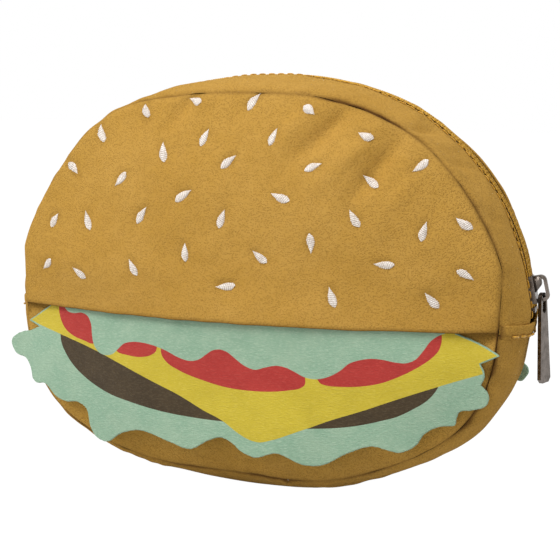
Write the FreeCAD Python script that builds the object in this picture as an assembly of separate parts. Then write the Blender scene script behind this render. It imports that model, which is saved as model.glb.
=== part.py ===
"""Hamburger-shaped zip pouch, modelled piece by piece.

Millimetres. The origin is the middle of the flat patch that the pouch stands on. +Z is up,
the front faces -Y and the closed end of the zip is at +X.

The body is a thick rounded disc: two padded faces, each an upper bun panel and a lower bun panel
with a printed felt sheet between them, joined by a wide edge band. The top of the edge band is a
zip that runs on one circle. Every layer is a slice of one envelope, taken at its own inset.
"""
import FreeCAD, Part
import math
import os

V = FreeCAD.Vector

# ---- driving dimensions of the body -------------------------------------------------------
SEAM_HALF_WIDTH = 100.0      # face seam outline, centre to side
SEAM_RISE = 65.7             # face seam outline above its widest level
SEAM_DROP = 91.8             # face seam outline below its widest level
WIDEST_Z = 98.6              # level of the widest line above the base
SHOULDER = (2.96, 1.21)      # exponents of the upper outline, across and up
BASE_CURVE = (1.95, 3.74)    # exponents of the lower outline
HALF_DEPTH = 29.2            # mid-plane to each face seam
BUN_BULGE = 17.9             # dome of the upper bun panels beyond the seam plane
LOWER_BULGE = 14.5           # dome of the lower bun panels beyond the seam plane
HEM_Z = 74.7                 # lower edge of the upper bun panels
EDGE_BULGE = 7.8             # edge band beyond the seam outline at the mid-plane
REST_SINK = 0.3              # how far the soft base would pass the ground before it flattens

# ---- layers ---------------------------------------------------------------------------------
SUEDE = 1.2                  # outer suede
PLY_GAP = 0.05               # air between plies of one wall
PADDING = 1.65
LINING_INSET = 3.1
LINING = 0.6
BINDING_DEPTH = 3.0          # seam binding, measured along Y
HEM_FOLD = 2.8               # width of the turned-under hem
FELT = 1.2
SOFT_GAP = 0.3               # between soft pieces on different bodies

# ---- zip ------------------------------------------------------------------------------------
ZIP_CENTRE_Z = 63.1          # centre of the circle that the zip runs on
ZIP_CLEAR = 2.96             # edge band's top beyond the seam outline where they come closest
ZIP_OPEN_FROM = 10.0         # degrees above level where the edge leaves the circle
ZIP_EASE = 7.0               # degrees over which it does so
STRIP_EDGE = 5.0             # mid-plane to the folded edge of each side strip
COIL_TOP_DROP = 0.1          # coil below the circle
COIL = (0.6, 2.6, 1.9)       # near side, far side, height
TAPE_HALF = 9.0
TAPE = 0.5
TAPE_END = 8.2               # degrees
STOP_ANGLES = (8.6, 9.6)
STOP_PROUD = 0.25
TAB_ANGLES = (3.6, 7.6)
TAB = 0.8

# ---- thread -----------------------------------------------------------------------------------
STITCH = (3.0, 4.0)          # stitch length and pitch
THREAD_RADIUS = 0.3
THREAD_LIFT = 0.2            # thread above the suede
STRIP_STITCH_Y = 7.6
TAB_STITCH_ANGLE = 4.4

# ---- slider and puller ------------------------------------------------------------------------
SLIDER_ANGLE = 13.3
SLIDER_HALF = 5.5
SLIDER_NOSE_HALF = 4.3       # half width at the nose
SLIDER_TAIL_HALF = 3.6
PLATE = 1.1
RUNNING_GAP = 0.3            # slider to coil and tape
FLANGE = 1.0
POST = (0.9, 2.8)            # width, length
BRIDGE_HALF = 5.3
BRIDGE_BAND = 1.35
BRIDGE_WIDTH = 1.6
TUNNEL = 3.65                # plate face to the inside of the bridge
PIVOT_HEIGHT = 2.2           # above the plate face
PIVOT_UP = 1.45              # above the lower leg of the bridge
PULL_TWIST = 22.0
PULL_LEAN = 3.5
PULL_LENGTH = 35.5           # pivot to the free end
PULL_THICK = 1.5
PULL_TOP_HALF = 2.4
PULL_END_HALF = 4.1
EYE_BAR = 0.7                # half height of the bar's eye above its slot
SLOT_HALF = 1.45
SLOT_LENGTH = 6.8

# ---- embroidery -------------------------------------------------------------------------------
SEED = (8.0, 3.6, 0.6)       # length, width, height
SEEDS = [                    # across, up, direction of the tip in degrees
    (-24, 159, 165), (-43, 153, 99), (-61, 143, 91), (-34, 139, 97), (-18, 146, 66),
    (0, 160, 55), (-7, 137, 39), (-51, 127, 225), (-74, 130, 312), (-24, 123, 36),
    (-66, 111, 108), (-41, 114, 56), (-8, 115, 72), (-22, 101, 91), (23, 157, 325),
    (10, 147, 67), (46, 148, 156), (27, 136, 20), (49, 131, 141), (67, 137, 214),
    (15, 124, 157), (44, 117, 120), (70, 113, 74), (28, 107, 273), (84, 116, 140),
    (56, 100, 176), (86, 97, 327), (74, 87, 129), (-83, 110, 56), (-86, 92, 219),
    (-69, 90, 144), (-44, 94, 117), (8, 101, 140), (-5, 89, 183), (37, 87, 106)]

# ---- felt sheet: its cut edge from the upper left round to the upper right ---------------------
FELT_EDGE = [
    [(-87.5, None), (-98.5, 67)],
    [(-98.5, 67), (-92, 65)],
    [(-92, 65), (-98, 62.5)],
    [(-98, 62.5), (-102.5, 61.5), (-108, 57), (-105.5, 52.5), (-99.5, 51), (-97, 48), (-95.5, 43)],
    [(-95.5, 43), (-93.5, 41.5), (-89.5, 42), (-82, 36.5), (-78, 35.5), (-72.5, 36), (-68, 34),
     (-65.5, 26), (-63, 22.5), (-58.5, 21), (-51, 25.5), (-43, 28), (-28, 25), (-19.5, 23),
     (-11, 27.5), (-6.5, 29), (-2, 27.5), (3, 24), (8, 22.5), (16.5, 25), (28, 21), (33, 21),
     (45, 27), (52.5, 30), (66, 28.5), (70, 31), (72.5, 35), (77, 38), (84, 39)],
    [(84, 39), (85.5, 44.5), (91, 45.5), (95.5, 47.5), (96, 51), (93, 55)],
    [(93, 55), (94.2, 58.8), (92.5, 63.3)],
    [(92.5, 63.3), (99.3, 66.3)],
    [(99.3, 66.3), (92, 70.5), (83, None)]]
FELT_STAND_OFF = 1.0         # felt to the seam plane at the sides
FELT_BOW = 15.4              # how far the felt bows out at its middle

# ---- construction -----------------------------------------------------------------------------
SECTION_POINTS = 120
DOME_STEPS = (0.12, 0.35, 0.55, 0.72, 0.86, 0.95, 1.0)
BAND_STEPS = (-0.75, -0.5, -0.25, 0.0, 0.25, 0.5, 0.75)
FAR = 400.0

ZIP_CENTRE = V(0, 0, ZIP_CENTRE_Z)
ZIP_AXIS = V(0, -1, 0)
FELT_TOP = HEM_Z - SOFT_GAP


# ---- outlines -----------------------------------------------------------------------------------
def outside_seam(x, z):
    """Positive where the point lies outside the face seam outline."""
    rise = z - WIDEST_Z
    reach, powers = (SEAM_RISE, SHOULDER) if rise > 0 else (SEAM_DROP, BASE_CURVE)
    return abs(x / SEAM_HALF_WIDTH) ** powers[0] + abs(rise / reach) ** powers[1] - 1


def seam_radius(angle):
    """Distance from the zip's centre to the seam outline in this direction."""
    low, high = 0.0, 2 * SEAM_HALF_WIDTH
    for _ in range(50):
        middle = (low + high) / 2
        if outside_seam(middle * math.cos(angle), ZIP_CENTRE_Z + middle * math.sin(angle)) > 0:
            high = middle
        else:
            low = middle
    return low


ZIP_RADIUS = ZIP_CLEAR + max(seam_radius(math.radians(step)) for step in range(90))
COIL_TOP = ZIP_RADIUS - COIL_TOP_DROP
TAPE_TOP = COIL_TOP - COIL[2]
PLATE_IN = COIL_TOP + RUNNING_GAP
PLATE_OUT = PLATE_IN + PLATE
PULL_PIVOT = (PLATE_OUT + PIVOT_HEIGHT, -BRIDGE_HALF + BRIDGE_BAND + PIVOT_UP)


def rim_radius(angle):
    """The same at the mid-plane: the zip's circle above, the bulged edge band below."""
    above = math.degrees(math.asin(math.sin(angle)))
    share = min(max((above - ZIP_OPEN_FROM) / ZIP_EASE + 1, 0.0), 1.0)
    share = share * share * (3 - 2 * share)
    return share * ZIP_RADIUS + (1 - share) * (seam_radius(angle) + EDGE_BULGE)


def polar(radius, angle, y=0.0):
    """A point at a distance and direction from the zip's centre."""
    return V(radius * math.cos(angle), y, ZIP_CENTRE_Z + radius * math.sin(angle))


ANGLES = [2 * math.pi * i / SECTION_POINTS for i in range(SECTION_POINTS)]
SEAM_RADII = [seam_radius(angle) for angle in ANGLES]
RIM_RADII = [rim_radius(angle) for angle in ANGLES]


def closed_curve(points):
    curve = Part.BSplineCurve()
    curve.interpolate(Points=points, PeriodicFlag=True)
    return Part.Wire([curve.toShape()])


def band_section(fraction, inset):
    """Section of the edge band at a fraction of the half depth."""
    points = []
    for angle, seam, rim in zip(ANGLES, SEAM_RADII, RIM_RADII):
        radius = seam + (rim - seam) * (1 - fraction ** 2) - inset
        point = polar(radius, angle, fraction * HALF_DEPTH)
        point.z = max(point.z, inset - REST_SINK)
        points.append(point)
    return closed_curve(points)


def dome_section(scale, inset, bulge, side):
    """Section of a padded face, shrunk towards the middle of the hem."""
    y = side * (HALF_DEPTH + (bulge - inset) * (1 - scale ** 2))
    points = []
    for angle, seam in zip(ANGLES, SEAM_RADII):
        edge = polar(seam - inset, angle)
        points.append(V(edge.x * scale, y, HEM_Z + (edge.z - HEM_Z) * scale))
    return closed_curve(points)


def envelope(inset, bulge):
    """The whole body at this distance inside its outer face."""
    sections = [dome_section(scale, inset, bulge, -1) for scale in DOME_STEPS]
    sections += [band_section(fraction, inset) for fraction in BAND_STEPS]
    sections += [dome_section(scale, inset, bulge, 1) for scale in reversed(DOME_STEPS)]
    return Part.makeLoft(sections, True, True)


def layer(outer_inset, thickness, bulge):
    return envelope(outer_inset, bulge).cut(envelope(outer_inset + thickness, bulge))


# ---- cutting helpers ------------------------------------------------------------------------------
def box(x0, x1, y0, y1, z0, z1):
    return Part.makeBox(x1 - x0, y1 - y0, z1 - z0, V(x0, y0, z0))


def front_of(z0, z1):
    """Everything in front of the front seam plane between two levels."""
    return box(-FAR, FAR, -FAR, -HALF_DEPTH, z0, z1)


def zip_sector(low, high, y0, y1):
    """A wedge seen from the zip's centre, mirrored over the top when high is None."""
    top = 180 - low if high is None else high
    steps = [low + (top - low) * i / 4 for i in range(5)]
    points = [V(0, y0, ZIP_CENTRE_Z)]
    points += [polar(FAR, math.radians(step), y0) for step in steps]
    return Part.Face(Part.makePolygon(points + points[:1])).extrude(V(0, y1 - y0, 0))


def arc_band(r0, r1, y0, y1, low, high):
    """A bar of rectangular section bent round the zip's circle."""
    start = math.radians(low)
    corners = [polar(r0, start, y0), polar(r1, start, y0), polar(r1, start, y1), polar(r0, start, y1)]
    face = Part.Face(Part.makePolygon(corners + corners[:1]))
    return face.revolve(ZIP_CENTRE, ZIP_AXIS, high - low)


def turned(shape):
    """The same piece on the other side, turned half round the upright axis."""
    copy = shape.copy()
    copy.rotate(V(0, 0, 0), V(0, 0, 1), 180)
    return copy


def export(name, shape):
    solids = shape.Solids
    if not solids:
        raise ValueError("no solid in " + name)
    result = solids[0] if len(solids) == 1 else Part.makeCompound(solids)
    result.exportStep(os.path.join("parts", name + ".step"))
    print("%-24s solids %3d  volume %10.1f  valid %s"
          % (name, len(solids), result.Volume, result.isValid()))


def export_both(name, shape):
    export("front_" + name, shape)
    export("back_" + name, turned(shape))


# ---- faces ---------------------------------------------------------------------------------------
def make_faces():
    bun = layer(0, SUEDE, BUN_BULGE)
    lower = layer(0, SUEDE, LOWER_BULGE)
    export_both("bun_panel", bun.common(front_of(HEM_Z, FAR)))
    export_both("lower_panel", lower.common(front_of(-FAR, HEM_Z)))
    inset = SUEDE + PLY_GAP
    export_both("bun_padding", layer(inset, PADDING, BUN_BULGE).common(front_of(HEM_Z + SUEDE, FAR)))
    export_both("lower_padding", layer(inset, PADDING, LOWER_BULGE).common(front_of(-FAR, HEM_Z)))
    fold = layer(SUEDE, HEM_FOLD, BUN_BULGE).common(front_of(HEM_Z, HEM_Z + SUEDE))
    export_both("hem_fold", fold.cut(envelope(LINING_INSET - PLY_GAP, LOWER_BULGE)))


def make_edge_band():
    band = layer(0, SUEDE, LOWER_BULGE).common(box(-FAR, FAR, -HALF_DEPTH, HALF_DEPTH, -FAR, FAR))
    top = zip_sector(TAB_ANGLES[1], None, -FAR, FAR)
    export("bottom_gusset", band.cut(top).cut(box(-FAR, FAR, -FAR, FAR, -FAR, 0)))
    strip = band.common(zip_sector(TAB_ANGLES[1], None, -FAR, -STRIP_EDGE))
    export("zip_strip_front", strip)
    export("zip_strip_back", turned(strip))
    cover = layer(-TAB, TAB, LOWER_BULGE).common(
        box(-FAR, FAR, -HALF_DEPTH, HALF_DEPTH, -FAR, FAR))
    low, high = TAB_ANGLES
    export("end_tab_right", cover.common(zip_sector(low, high, -FAR, FAR)))
    export("end_tab_left", cover.common(zip_sector(180 - high, 180 - low, -FAR, FAR)))


def make_inside():
    lining = layer(LINING_INSET, LINING, LOWER_BULGE)
    face = lining.common(front_of(-FAR, FAR))
    export_both("lining", face)
    band = lining.common(box(-FAR, FAR, -HALF_DEPTH, HALF_DEPTH, -FAR, FAR))
    mouth = zip_sector(TAB_ANGLES[1], None, -STRIP_EDGE, STRIP_EDGE)
    export("lining_gusset", band.cut(mouth))
    binding = layer(SUEDE + PLY_GAP, PADDING, LOWER_BULGE).common(
        box(-FAR, FAR, -HALF_DEPTH, -HALF_DEPTH + BINDING_DEPTH, -FAR, FAR))
    export_both("seam_binding", binding)


# ---- zip -------------------------------------------------------------------------------------------
def make_zip():
    near, far, height = COIL
    ends = (STOP_ANGLES[1] + 0.1, 180 - STOP_ANGLES[1] - 0.1)
    coil = arc_band(COIL_TOP - height, COIL_TOP, -far, -near, *ends)
    export("zip_coil_front", coil)
    export("zip_coil_back", turned(coil))
    tape = layer(ZIP_RADIUS - TAPE_TOP, TAPE, LOWER_BULGE).common(
        zip_sector(TAPE_END, None, -TAPE_HALF, -near))
    export("zip_tape_front", tape)
    export("zip_tape_back", turned(tape))
    stops = arc_band(TAPE_TOP, COIL_TOP + STOP_PROUD, -far - STOP_PROUD, -near, *STOP_ANGLES)
    mirrored = stops.mirror(V(0, 0, 0), V(0, 1, 0))
    export("closed_end_stops", Part.makeCompound([stops, mirrored]))
    bar = arc_band(TAPE_TOP, COIL_TOP + STOP_PROUD, -far, far,
                   180 - STOP_ANGLES[1], 180 - STOP_ANGLES[0])
    export("open_end_stop", bar)


def strip_surface(angle, y):
    """Radius of the edge band's outer face."""
    seam, rim = seam_radius(angle), rim_radius(angle)
    return seam + (rim - seam) * (1 - (y / HALF_DEPTH) ** 2)


def make_topstitching():
    length, pitch = STITCH
    start, end = TAB_ANGLES[1] + 1, 180 - TAB_ANGLES[1] - 1
    count = int(math.radians(end - start) * ZIP_RADIUS / pitch)
    stitches = []
    for i in range(count + 1):
        angle = math.radians(start + (end - start) * i / count)
        radius = strip_surface(angle, STRIP_STITCH_Y) + THREAD_RADIUS + THREAD_LIFT
        middle = polar(radius, angle, -STRIP_STITCH_Y)
        along = V(-math.sin(angle), 0, math.cos(angle))
        stitches.append(Part.makeCylinder(THREAD_RADIUS, length, middle - along * (length / 2), along))
    row = Part.makeCompound(stitches)
    export("strip_stitching_front", row)
    export("strip_stitching_back", turned(row))
    angle = math.radians(TAB_STITCH_ANGLE)
    row = []
    count = int((2 * HALF_DEPTH - 2 * pitch) / pitch)
    for i in range(count):
        y = (i - (count - 1) / 2) * pitch
        ends = [polar(strip_surface(angle, y + side * length / 2) + TAB + THREAD_RADIUS + THREAD_LIFT,
                      angle, y + side * length / 2) for side in (-1, 1)]
        run = ends[1] - ends[0]
        row.append(Part.makeCylinder(THREAD_RADIUS, run.Length, ends[0], run))
    row = Part.makeCompound(row)
    export("tab_stitching_right", row)
    export("tab_stitching_left", turned(row))


def at_slider(shape):
    """Moves a piece from the level of the zip's centre to the closed end of the zip."""
    shape.rotate(ZIP_CENTRE, ZIP_AXIS, SLIDER_ANGLE)
    return shape


def slider_plate(r0, r1):
    """A plate of the slider: wide at the nose (below), narrower at the tail."""
    corners = [(-SLIDER_HALF, SLIDER_NOSE_HALF - 1.2), (-SLIDER_HALF + 1.5, SLIDER_NOSE_HALF),
               (-0.5, SLIDER_NOSE_HALF), (2.5, SLIDER_TAIL_HALF), (SLIDER_HALF, SLIDER_TAIL_HALF)]
    outline = corners + [(t, -y) for t, y in reversed(corners)]
    points = [V(r0, y, ZIP_CENTRE_Z + t) for t, y in outline]
    return Part.Face(Part.makePolygon(points + points[:1])).extrude(V(r1 - r0, 0, 0))


def make_slider():
    outer = slider_plate(PLATE_IN, PLATE_OUT)
    hollow = box(0, PLATE_IN, -COIL[1] - RUNNING_GAP, COIL[1] + RUNNING_GAP, -FAR, FAR)
    flanges = slider_plate(TAPE_TOP + RUNNING_GAP, PLATE_IN).cut(hollow)
    inner_top = TAPE_TOP - TAPE - 2 * RUNNING_GAP
    inner = slider_plate(inner_top - PLATE, inner_top)
    width, length = POST
    foot = -SLIDER_HALF + 0.5
    post = box(inner_top, PLATE_IN, -width / 2, width / 2,
               ZIP_CENTRE_Z + foot, ZIP_CENTRE_Z + foot + length)
    body = outer.fuse([flanges, inner, post]).removeSplitter()
    export("slider_body", at_slider(body))
    export("slider_bridge", at_slider(make_bridge()))
    export("puller_bar", make_puller())


def rounded_frame(r0, r1, half, corner, width):
    """A block on the slider's plate with rounded outer corners."""
    block = box(r0, r1, -width / 2, width / 2, ZIP_CENTRE_Z - half, ZIP_CENTRE_Z + half)
    edges = [edge for edge in block.Edges
             if abs(edge.Vertexes[0].Y - edge.Vertexes[1].Y) > width / 2
             and edge.Vertexes[0].X > (r0 + r1) / 2]
    return block.makeFillet(corner, edges)


def make_bridge():
    inside = PLATE_OUT + TUNNEL
    outer = rounded_frame(PLATE_OUT, inside + BRIDGE_BAND, BRIDGE_HALF, 2.4, BRIDGE_WIDTH)
    tunnel = rounded_frame(PLATE_OUT - 1, inside, BRIDGE_HALF - BRIDGE_BAND, 1.2, BRIDGE_WIDTH + 2)
    return outer.cut(tunnel)


def make_puller():
    """The flat bar: built hanging from the origin, then twisted, leaned and hung on the bridge."""
    eye = PULL_TOP_HALF
    points = [V(-eye, 0, EYE_BAR - eye), V(-PULL_END_HALF, 0, -PULL_LENGTH + 1.6),
              V(-PULL_END_HALF + 1.6, 0, -PULL_LENGTH), V(PULL_END_HALF - 1.6, 0, -PULL_LENGTH),
              V(PULL_END_HALF, 0, -PULL_LENGTH + 1.6), V(eye, 0, EYE_BAR - eye)]
    lines = [Part.LineSegment(a, b).toShape() for a, b in zip(points, points[1:])]
    top = Part.Arc(points[-1], V(0, 0, EYE_BAR), points[0]).toShape()
    plate = Part.Face(Part.Wire(lines + [top])).extrude(V(0, PULL_THICK, 0))
    plate.translate(V(0, -PULL_THICK / 2, 0))
    low = -EYE_BAR - SLOT_LENGTH + SLOT_HALF
    slot = box(-SLOT_HALF, SLOT_HALF, -PULL_THICK, PULL_THICK, low, -EYE_BAR)
    end = Part.makeCylinder(SLOT_HALF, 2 * PULL_THICK, V(0, -PULL_THICK, low), V(0, 1, 0))
    bar = plate.cut(slot.fuse(end))
    bar.rotate(V(0, 0, 0), V(0, 0, 1), 90 - PULL_TWIST)
    bar.rotate(V(0, 0, 0), V(0, 1, 0), -PULL_LEAN)
    bar.translate(pull_pivot())
    return bar


def pull_pivot():
    radius, along = PULL_PIVOT
    turn = math.radians(SLIDER_ANGLE)
    return ZIP_CENTRE + V(radius * math.cos(turn) - along * math.sin(turn), 0,
                          radius * math.sin(turn) + along * math.cos(turn))


# ---- felt and embroidery ---------------------------------------------------------------------------
def make_felt():
    wires = []
    for run in FELT_EDGE:
        points = [V(x, 0, FELT_TOP if z is None else z) for x, z in run]
        if len(points) == 2:
            wires.append(Part.LineSegment(*points).toShape())
        else:
            curve = Part.BSplineCurve()
            curve.interpolate(points)
            wires.append(curve.toShape())
    first, last = FELT_EDGE[0][0], FELT_EDGE[-1][-1]
    wires.append(Part.LineSegment(V(last[0], 0, FELT_TOP), V(first[0], 0, FELT_TOP)).toShape())
    outline = Part.Face(Part.Wire(wires))
    outline.translate(V(0, -FAR / 2, 0))
    cutter = outline.extrude(V(0, FAR / 2, 0))
    curves = []
    for offset in (FELT_STAND_OFF, FELT_STAND_OFF + FELT):
        points = [V(x, -HALF_DEPTH - offset - FELT_BOW * (1 - (x / SEAM_HALF_WIDTH) ** 2), 0)
                  for x in range(-110, 111, 20)]
        curve = Part.BSplineCurve()
        curve.interpolate(points)
        curves.append(curve.toShape())
    ends = [Part.LineSegment(curves[0].valueAt(end(curves[0])), curves[1].valueAt(end(curves[1])))
            .toShape() for end in (lambda edge: edge.FirstParameter, lambda edge: edge.LastParameter)]
    sheet = Part.Face(Part.Wire(Part.sortEdges(curves + ends)[0])).extrude(V(0, 0, HEM_Z * 2))
    export_both("filling_felt", sheet.common(cutter))


def dome_scale(x, z):
    """Share of the way from the middle of the hem out to the seam."""
    low, high = 0.0, 2.0
    for _ in range(40):
        middle = (low + high) / 2
        if middle > 0 and outside_seam(x / middle, HEM_Z + (z - HEM_Z) / middle) < 0:
            high = middle
        else:
            low = middle
    return high


def dome_point(x, z):
    return V(x, -HALF_DEPTH - BUN_BULGE * (1 - dome_scale(x, z) ** 2), z)


def make_seeds():
    length, width, height = SEED
    seeds = []
    for x, z, tip in SEEDS:
        centre = dome_point(x, z)
        across = dome_point(x + 1, z) - dome_point(x - 1, z)
        up = dome_point(x, z + 1) - dome_point(x, z - 1)
        normal = across.cross(up).normalize()
        turn = math.radians(tip)
        along = (across.normalize() * math.cos(turn) + up.normalize() * math.sin(turn)).normalize()
        side = normal.cross(along)
        ball = Part.makeSphere(1.0, V(0, 0, 0), V(0, 0, 1), 0, 90, 360)
        place = FreeCAD.Matrix(along.x * length / 2, side.x * width / 2, normal.x * height, centre.x,
                               along.y * length / 2, side.y * width / 2, normal.y * height, centre.y,
                               along.z * length / 2, side.z * width / 2, normal.z * height, centre.z)
        seeds.append(ball.transformGeometry(place))
        seeds[-1].translate(normal * PLY_GAP)
    export_both("seeds", Part.makeCompound(seeds))


def main():
    os.makedirs("parts", exist_ok=True)
    make_faces()
    make_edge_band()
    make_inside()
    make_zip()
    make_topstitching()
    make_slider()
    make_felt()
    make_seeds()
    pivot = pull_pivot()
    print("puller pivot %.3f %.3f %.3f" % (pivot.x, pivot.y, pivot.z))


main()
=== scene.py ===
"""Hamburger-shaped zip pouch in suede, with printed felt fillings and embroidered seeds.

Shapes are worked out in millimetres in the model's own frame and turned into metres where a mesh
is made. The origin is the middle of the flat patch the pouch stands on, +Z is up and the front
faces -Y. Back pieces are front pieces turned half round the upright axis.
"""

import logging
import math
from dataclasses import dataclass, field
from enum import Enum
from functools import cached_property
from typing import Iterable, Optional, Sequence, Union

import bmesh
import bpy
import numpy as np
from mathutils import Matrix, Vector
from mathutils.geometry import delaunay_2d_cdt


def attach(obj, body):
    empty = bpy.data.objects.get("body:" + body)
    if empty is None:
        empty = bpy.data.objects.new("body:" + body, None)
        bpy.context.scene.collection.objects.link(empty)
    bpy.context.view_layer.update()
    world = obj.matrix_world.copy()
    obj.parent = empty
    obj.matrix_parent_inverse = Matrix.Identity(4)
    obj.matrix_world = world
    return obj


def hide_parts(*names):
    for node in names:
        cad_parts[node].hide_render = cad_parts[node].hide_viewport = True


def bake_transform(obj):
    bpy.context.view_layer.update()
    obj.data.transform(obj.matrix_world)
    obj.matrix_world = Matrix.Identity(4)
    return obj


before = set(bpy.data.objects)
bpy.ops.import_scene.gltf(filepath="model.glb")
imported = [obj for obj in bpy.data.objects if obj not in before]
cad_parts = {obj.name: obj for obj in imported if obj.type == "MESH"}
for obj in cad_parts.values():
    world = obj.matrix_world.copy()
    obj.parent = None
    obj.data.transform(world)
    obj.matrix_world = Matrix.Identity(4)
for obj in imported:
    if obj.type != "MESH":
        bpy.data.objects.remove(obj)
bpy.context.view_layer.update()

log = logging.getLogger("pouch")
MM = 0.001
Array = np.ndarray
Colour = tuple[float, float, float]
WHITE: Colour = (1.0, 1.0, 1.0)


# ---- shader helpers ---------------------------------------------------------------------------
def srgb(red: int, green: int, blue: int) -> Colour:
    """A screen colour, 0 to 255, as the linear colour that shaders take.

    Args:
        red: red, 0 to 255.
        green: green, 0 to 255.
        blue: blue, 0 to 255.

    Returns:
        The linear colour.
    """
    def linear(value: float) -> float:
        """One channel, 0 to 1, made linear."""
        return value / 12.92 if value <= 0.04045 else ((value + 0.055) / 1.055) ** 2.4
    return (linear(red / 255), linear(green / 255), linear(blue / 255))


class Wire:
    """A shader socket that can be used in sums. Every sum adds a Math node."""

    def __init__(self, sheet: "ShaderSheet", socket: bpy.types.NodeSocket) -> None:
        """Keeps the socket and the shader sheet it is on."""
        self.sheet = sheet
        self.socket = socket

    def math(self, operation: str, *values: "Value") -> "Wire":
        """Adds one Math node.

        Args:
            operation: the Math node's operation.
            values: its inputs, in order.

        Returns:
            The node's result.
        """
        inputs = dict(enumerate(values))
        return self.sheet.node("ShaderNodeMath", {"operation": operation}, inputs)

    def __add__(self, other: "Value") -> "Wire":
        """Self plus other."""
        return self.math("ADD", self, other)

    def __radd__(self, other: "Value") -> "Wire":
        """Other plus self."""
        return self.math("ADD", other, self)

    def __sub__(self, other: "Value") -> "Wire":
        """Self less other."""
        return self.math("SUBTRACT", self, other)

    def __rsub__(self, other: "Value") -> "Wire":
        """Other less self."""
        return self.math("SUBTRACT", other, self)

    def __mul__(self, other: "Value") -> "Wire":
        """Self times other."""
        return self.math("MULTIPLY", self, other)

    def __rmul__(self, other: "Value") -> "Wire":
        """Other times self."""
        return self.math("MULTIPLY", other, self)

    def __pow__(self, power: "Value") -> "Wire":
        """Self raised to a power."""
        return self.math("POWER", self, power)

    def between(self, low: float, high: float) -> "Wire":
        """0 below low, 1 above high and a smooth step from one to the other.

        Args:
            low: value that gives 0.
            high: value that gives 1.

        Returns:
            The stepped value.
        """
        return self.sheet.node("ShaderNodeMapRange", {"interpolation_type": "SMOOTHSTEP"},
                               {"Value": self, "From Min": low, "From Max": high})


Value = Union[Wire, float]


class ShaderSheet:
    """The nodes of one material or world."""

    def __init__(self, owner: Union[bpy.types.Material, bpy.types.World]) -> None:
        """Empties the node tree of a new material or world.

        Args:
            owner: the material or world.
        """
        self.owner = owner
        owner.use_nodes = True
        self.tree = owner.node_tree
        self.tree.nodes.clear()

    @cached_property
    def place(self) -> Wire:
        """The object's own coordinates."""
        return self.node("ShaderNodeTexCoord", output="Object")

    def node(self, kind: str, settings: Optional[dict] = None, values: Optional[dict] = None,
             output: Union[int, str] = 0) -> Wire:
        """Adds any node: its settings first, then the values or links of its sockets.

        Args:
            kind: the node's type.
            settings: its properties; a ramp's stops come as a list of (place, colour).
            values: what goes into its sockets, by name or number.
            output: the socket to hand back.

        Returns:
            The chosen output.
        """
        node = self.tree.nodes.new(kind)
        for key, setting in (settings or {}).items():
            if key == "stops":
                while len(node.color_ramp.elements) < len(setting):
                    node.color_ramp.elements.new(0.5)
                for element, (place, colour) in zip(node.color_ramp.elements, setting):
                    element.position = place
                    element.color = (*colour, 1.0)
            else:
                setattr(node, key, setting)
        for key, value in (values or {}).items():
            socket = node.inputs[key]
            if isinstance(value, Wire):
                self.tree.links.new(value.socket, socket)
            elif isinstance(value, tuple) and len(value) == 3 and socket.type == "RGBA":
                socket.default_value = (*value, 1.0)
            else:
                socket.default_value = value
        return Wire(self, node.outputs[output])

    def mix(self, share: Value, first: Union[Wire, Colour], second: Union[Wire, Colour],
            blend: str = "MIX") -> Wire:
        """Mixes two colours.

        Args:
            share: 0 for the first, 1 for the second.
            first: colour or wire.
            second: colour or wire.
            blend: the Mix node's blend type.

        Returns:
            The mixed colour.
        """
        return self.node("ShaderNodeMix", {"data_type": "RGBA", "blend_type": blend},
                         {0: share, 6: first, 7: second}, 2)

    def noise(self, grain: float, detail: float = 2.0, rough: float = 0.5,
              place: Optional[Wire] = None) -> Wire:
        """Noise whose grains are about this many millimetres across.

        Args:
            grain: size of the grains, in millimetres.
            detail: finer layers added.
            rough: strength of those layers.
            place: coordinates, or the object's own.

        Returns:
            A value about 0.5.
        """
        return self.node("ShaderNodeTexNoise", None,
                         {"Vector": place or self.place, "Scale": 1.0 / (grain * MM),
                          "Detail": detail, "Roughness": rough}, "Fac")

    def cells(self, grain: float) -> Wire:
        """Distance from scattered points that are this many millimetres apart."""
        return self.node("ShaderNodeTexVoronoi", None,
                         {"Vector": self.place, "Scale": 1.0 / (grain * MM)}, "Distance")

    def stretched(self, turn: Colour, scale: Colour) -> Wire:
        """The object's coordinates, turned and then stretched.

        Args:
            turn: turn about each axis in radians.
            scale: stretch along each axis.

        Returns:
            The new coordinates.
        """
        return self.node("ShaderNodeMapping", None,
                         {"Vector": self.place, "Rotation": turn, "Scale": scale})

    def painted(self, name: str) -> Wire:
        """A value stored on the mesh's points."""
        return self.node("ShaderNodeAttribute", {"attribute_name": name}, output="Fac")

    def close(self, height: Optional[Wire] = None, depth: float = 0.1, **inputs: object
              ) -> bpy.types.Material:
        """Ends the material in a Principled shader.

        Args:
            height: bump height, 0 to 1.
            depth: what a height of 1 stands for, in millimetres.
            inputs: the shader's inputs, with _ for spaces.

        Returns:
            The material.
        """
        values = {key.replace("_", " "): value for key, value in inputs.items()}
        if height is not None:
            values["Normal"] = self.node("ShaderNodeBump", None,
                                         {"Height": height, "Distance": depth * MM})
        self.end(self.node("ShaderNodeBsdfPrincipled", None, values), "ShaderNodeOutputMaterial")
        return self.owner

    def end(self, shader: Wire, kind: str) -> None:
        """Links a shader to an output node of the kind given."""
        self.tree.links.new(shader.socket, self.tree.nodes.new(kind).inputs["Surface"])


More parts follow.
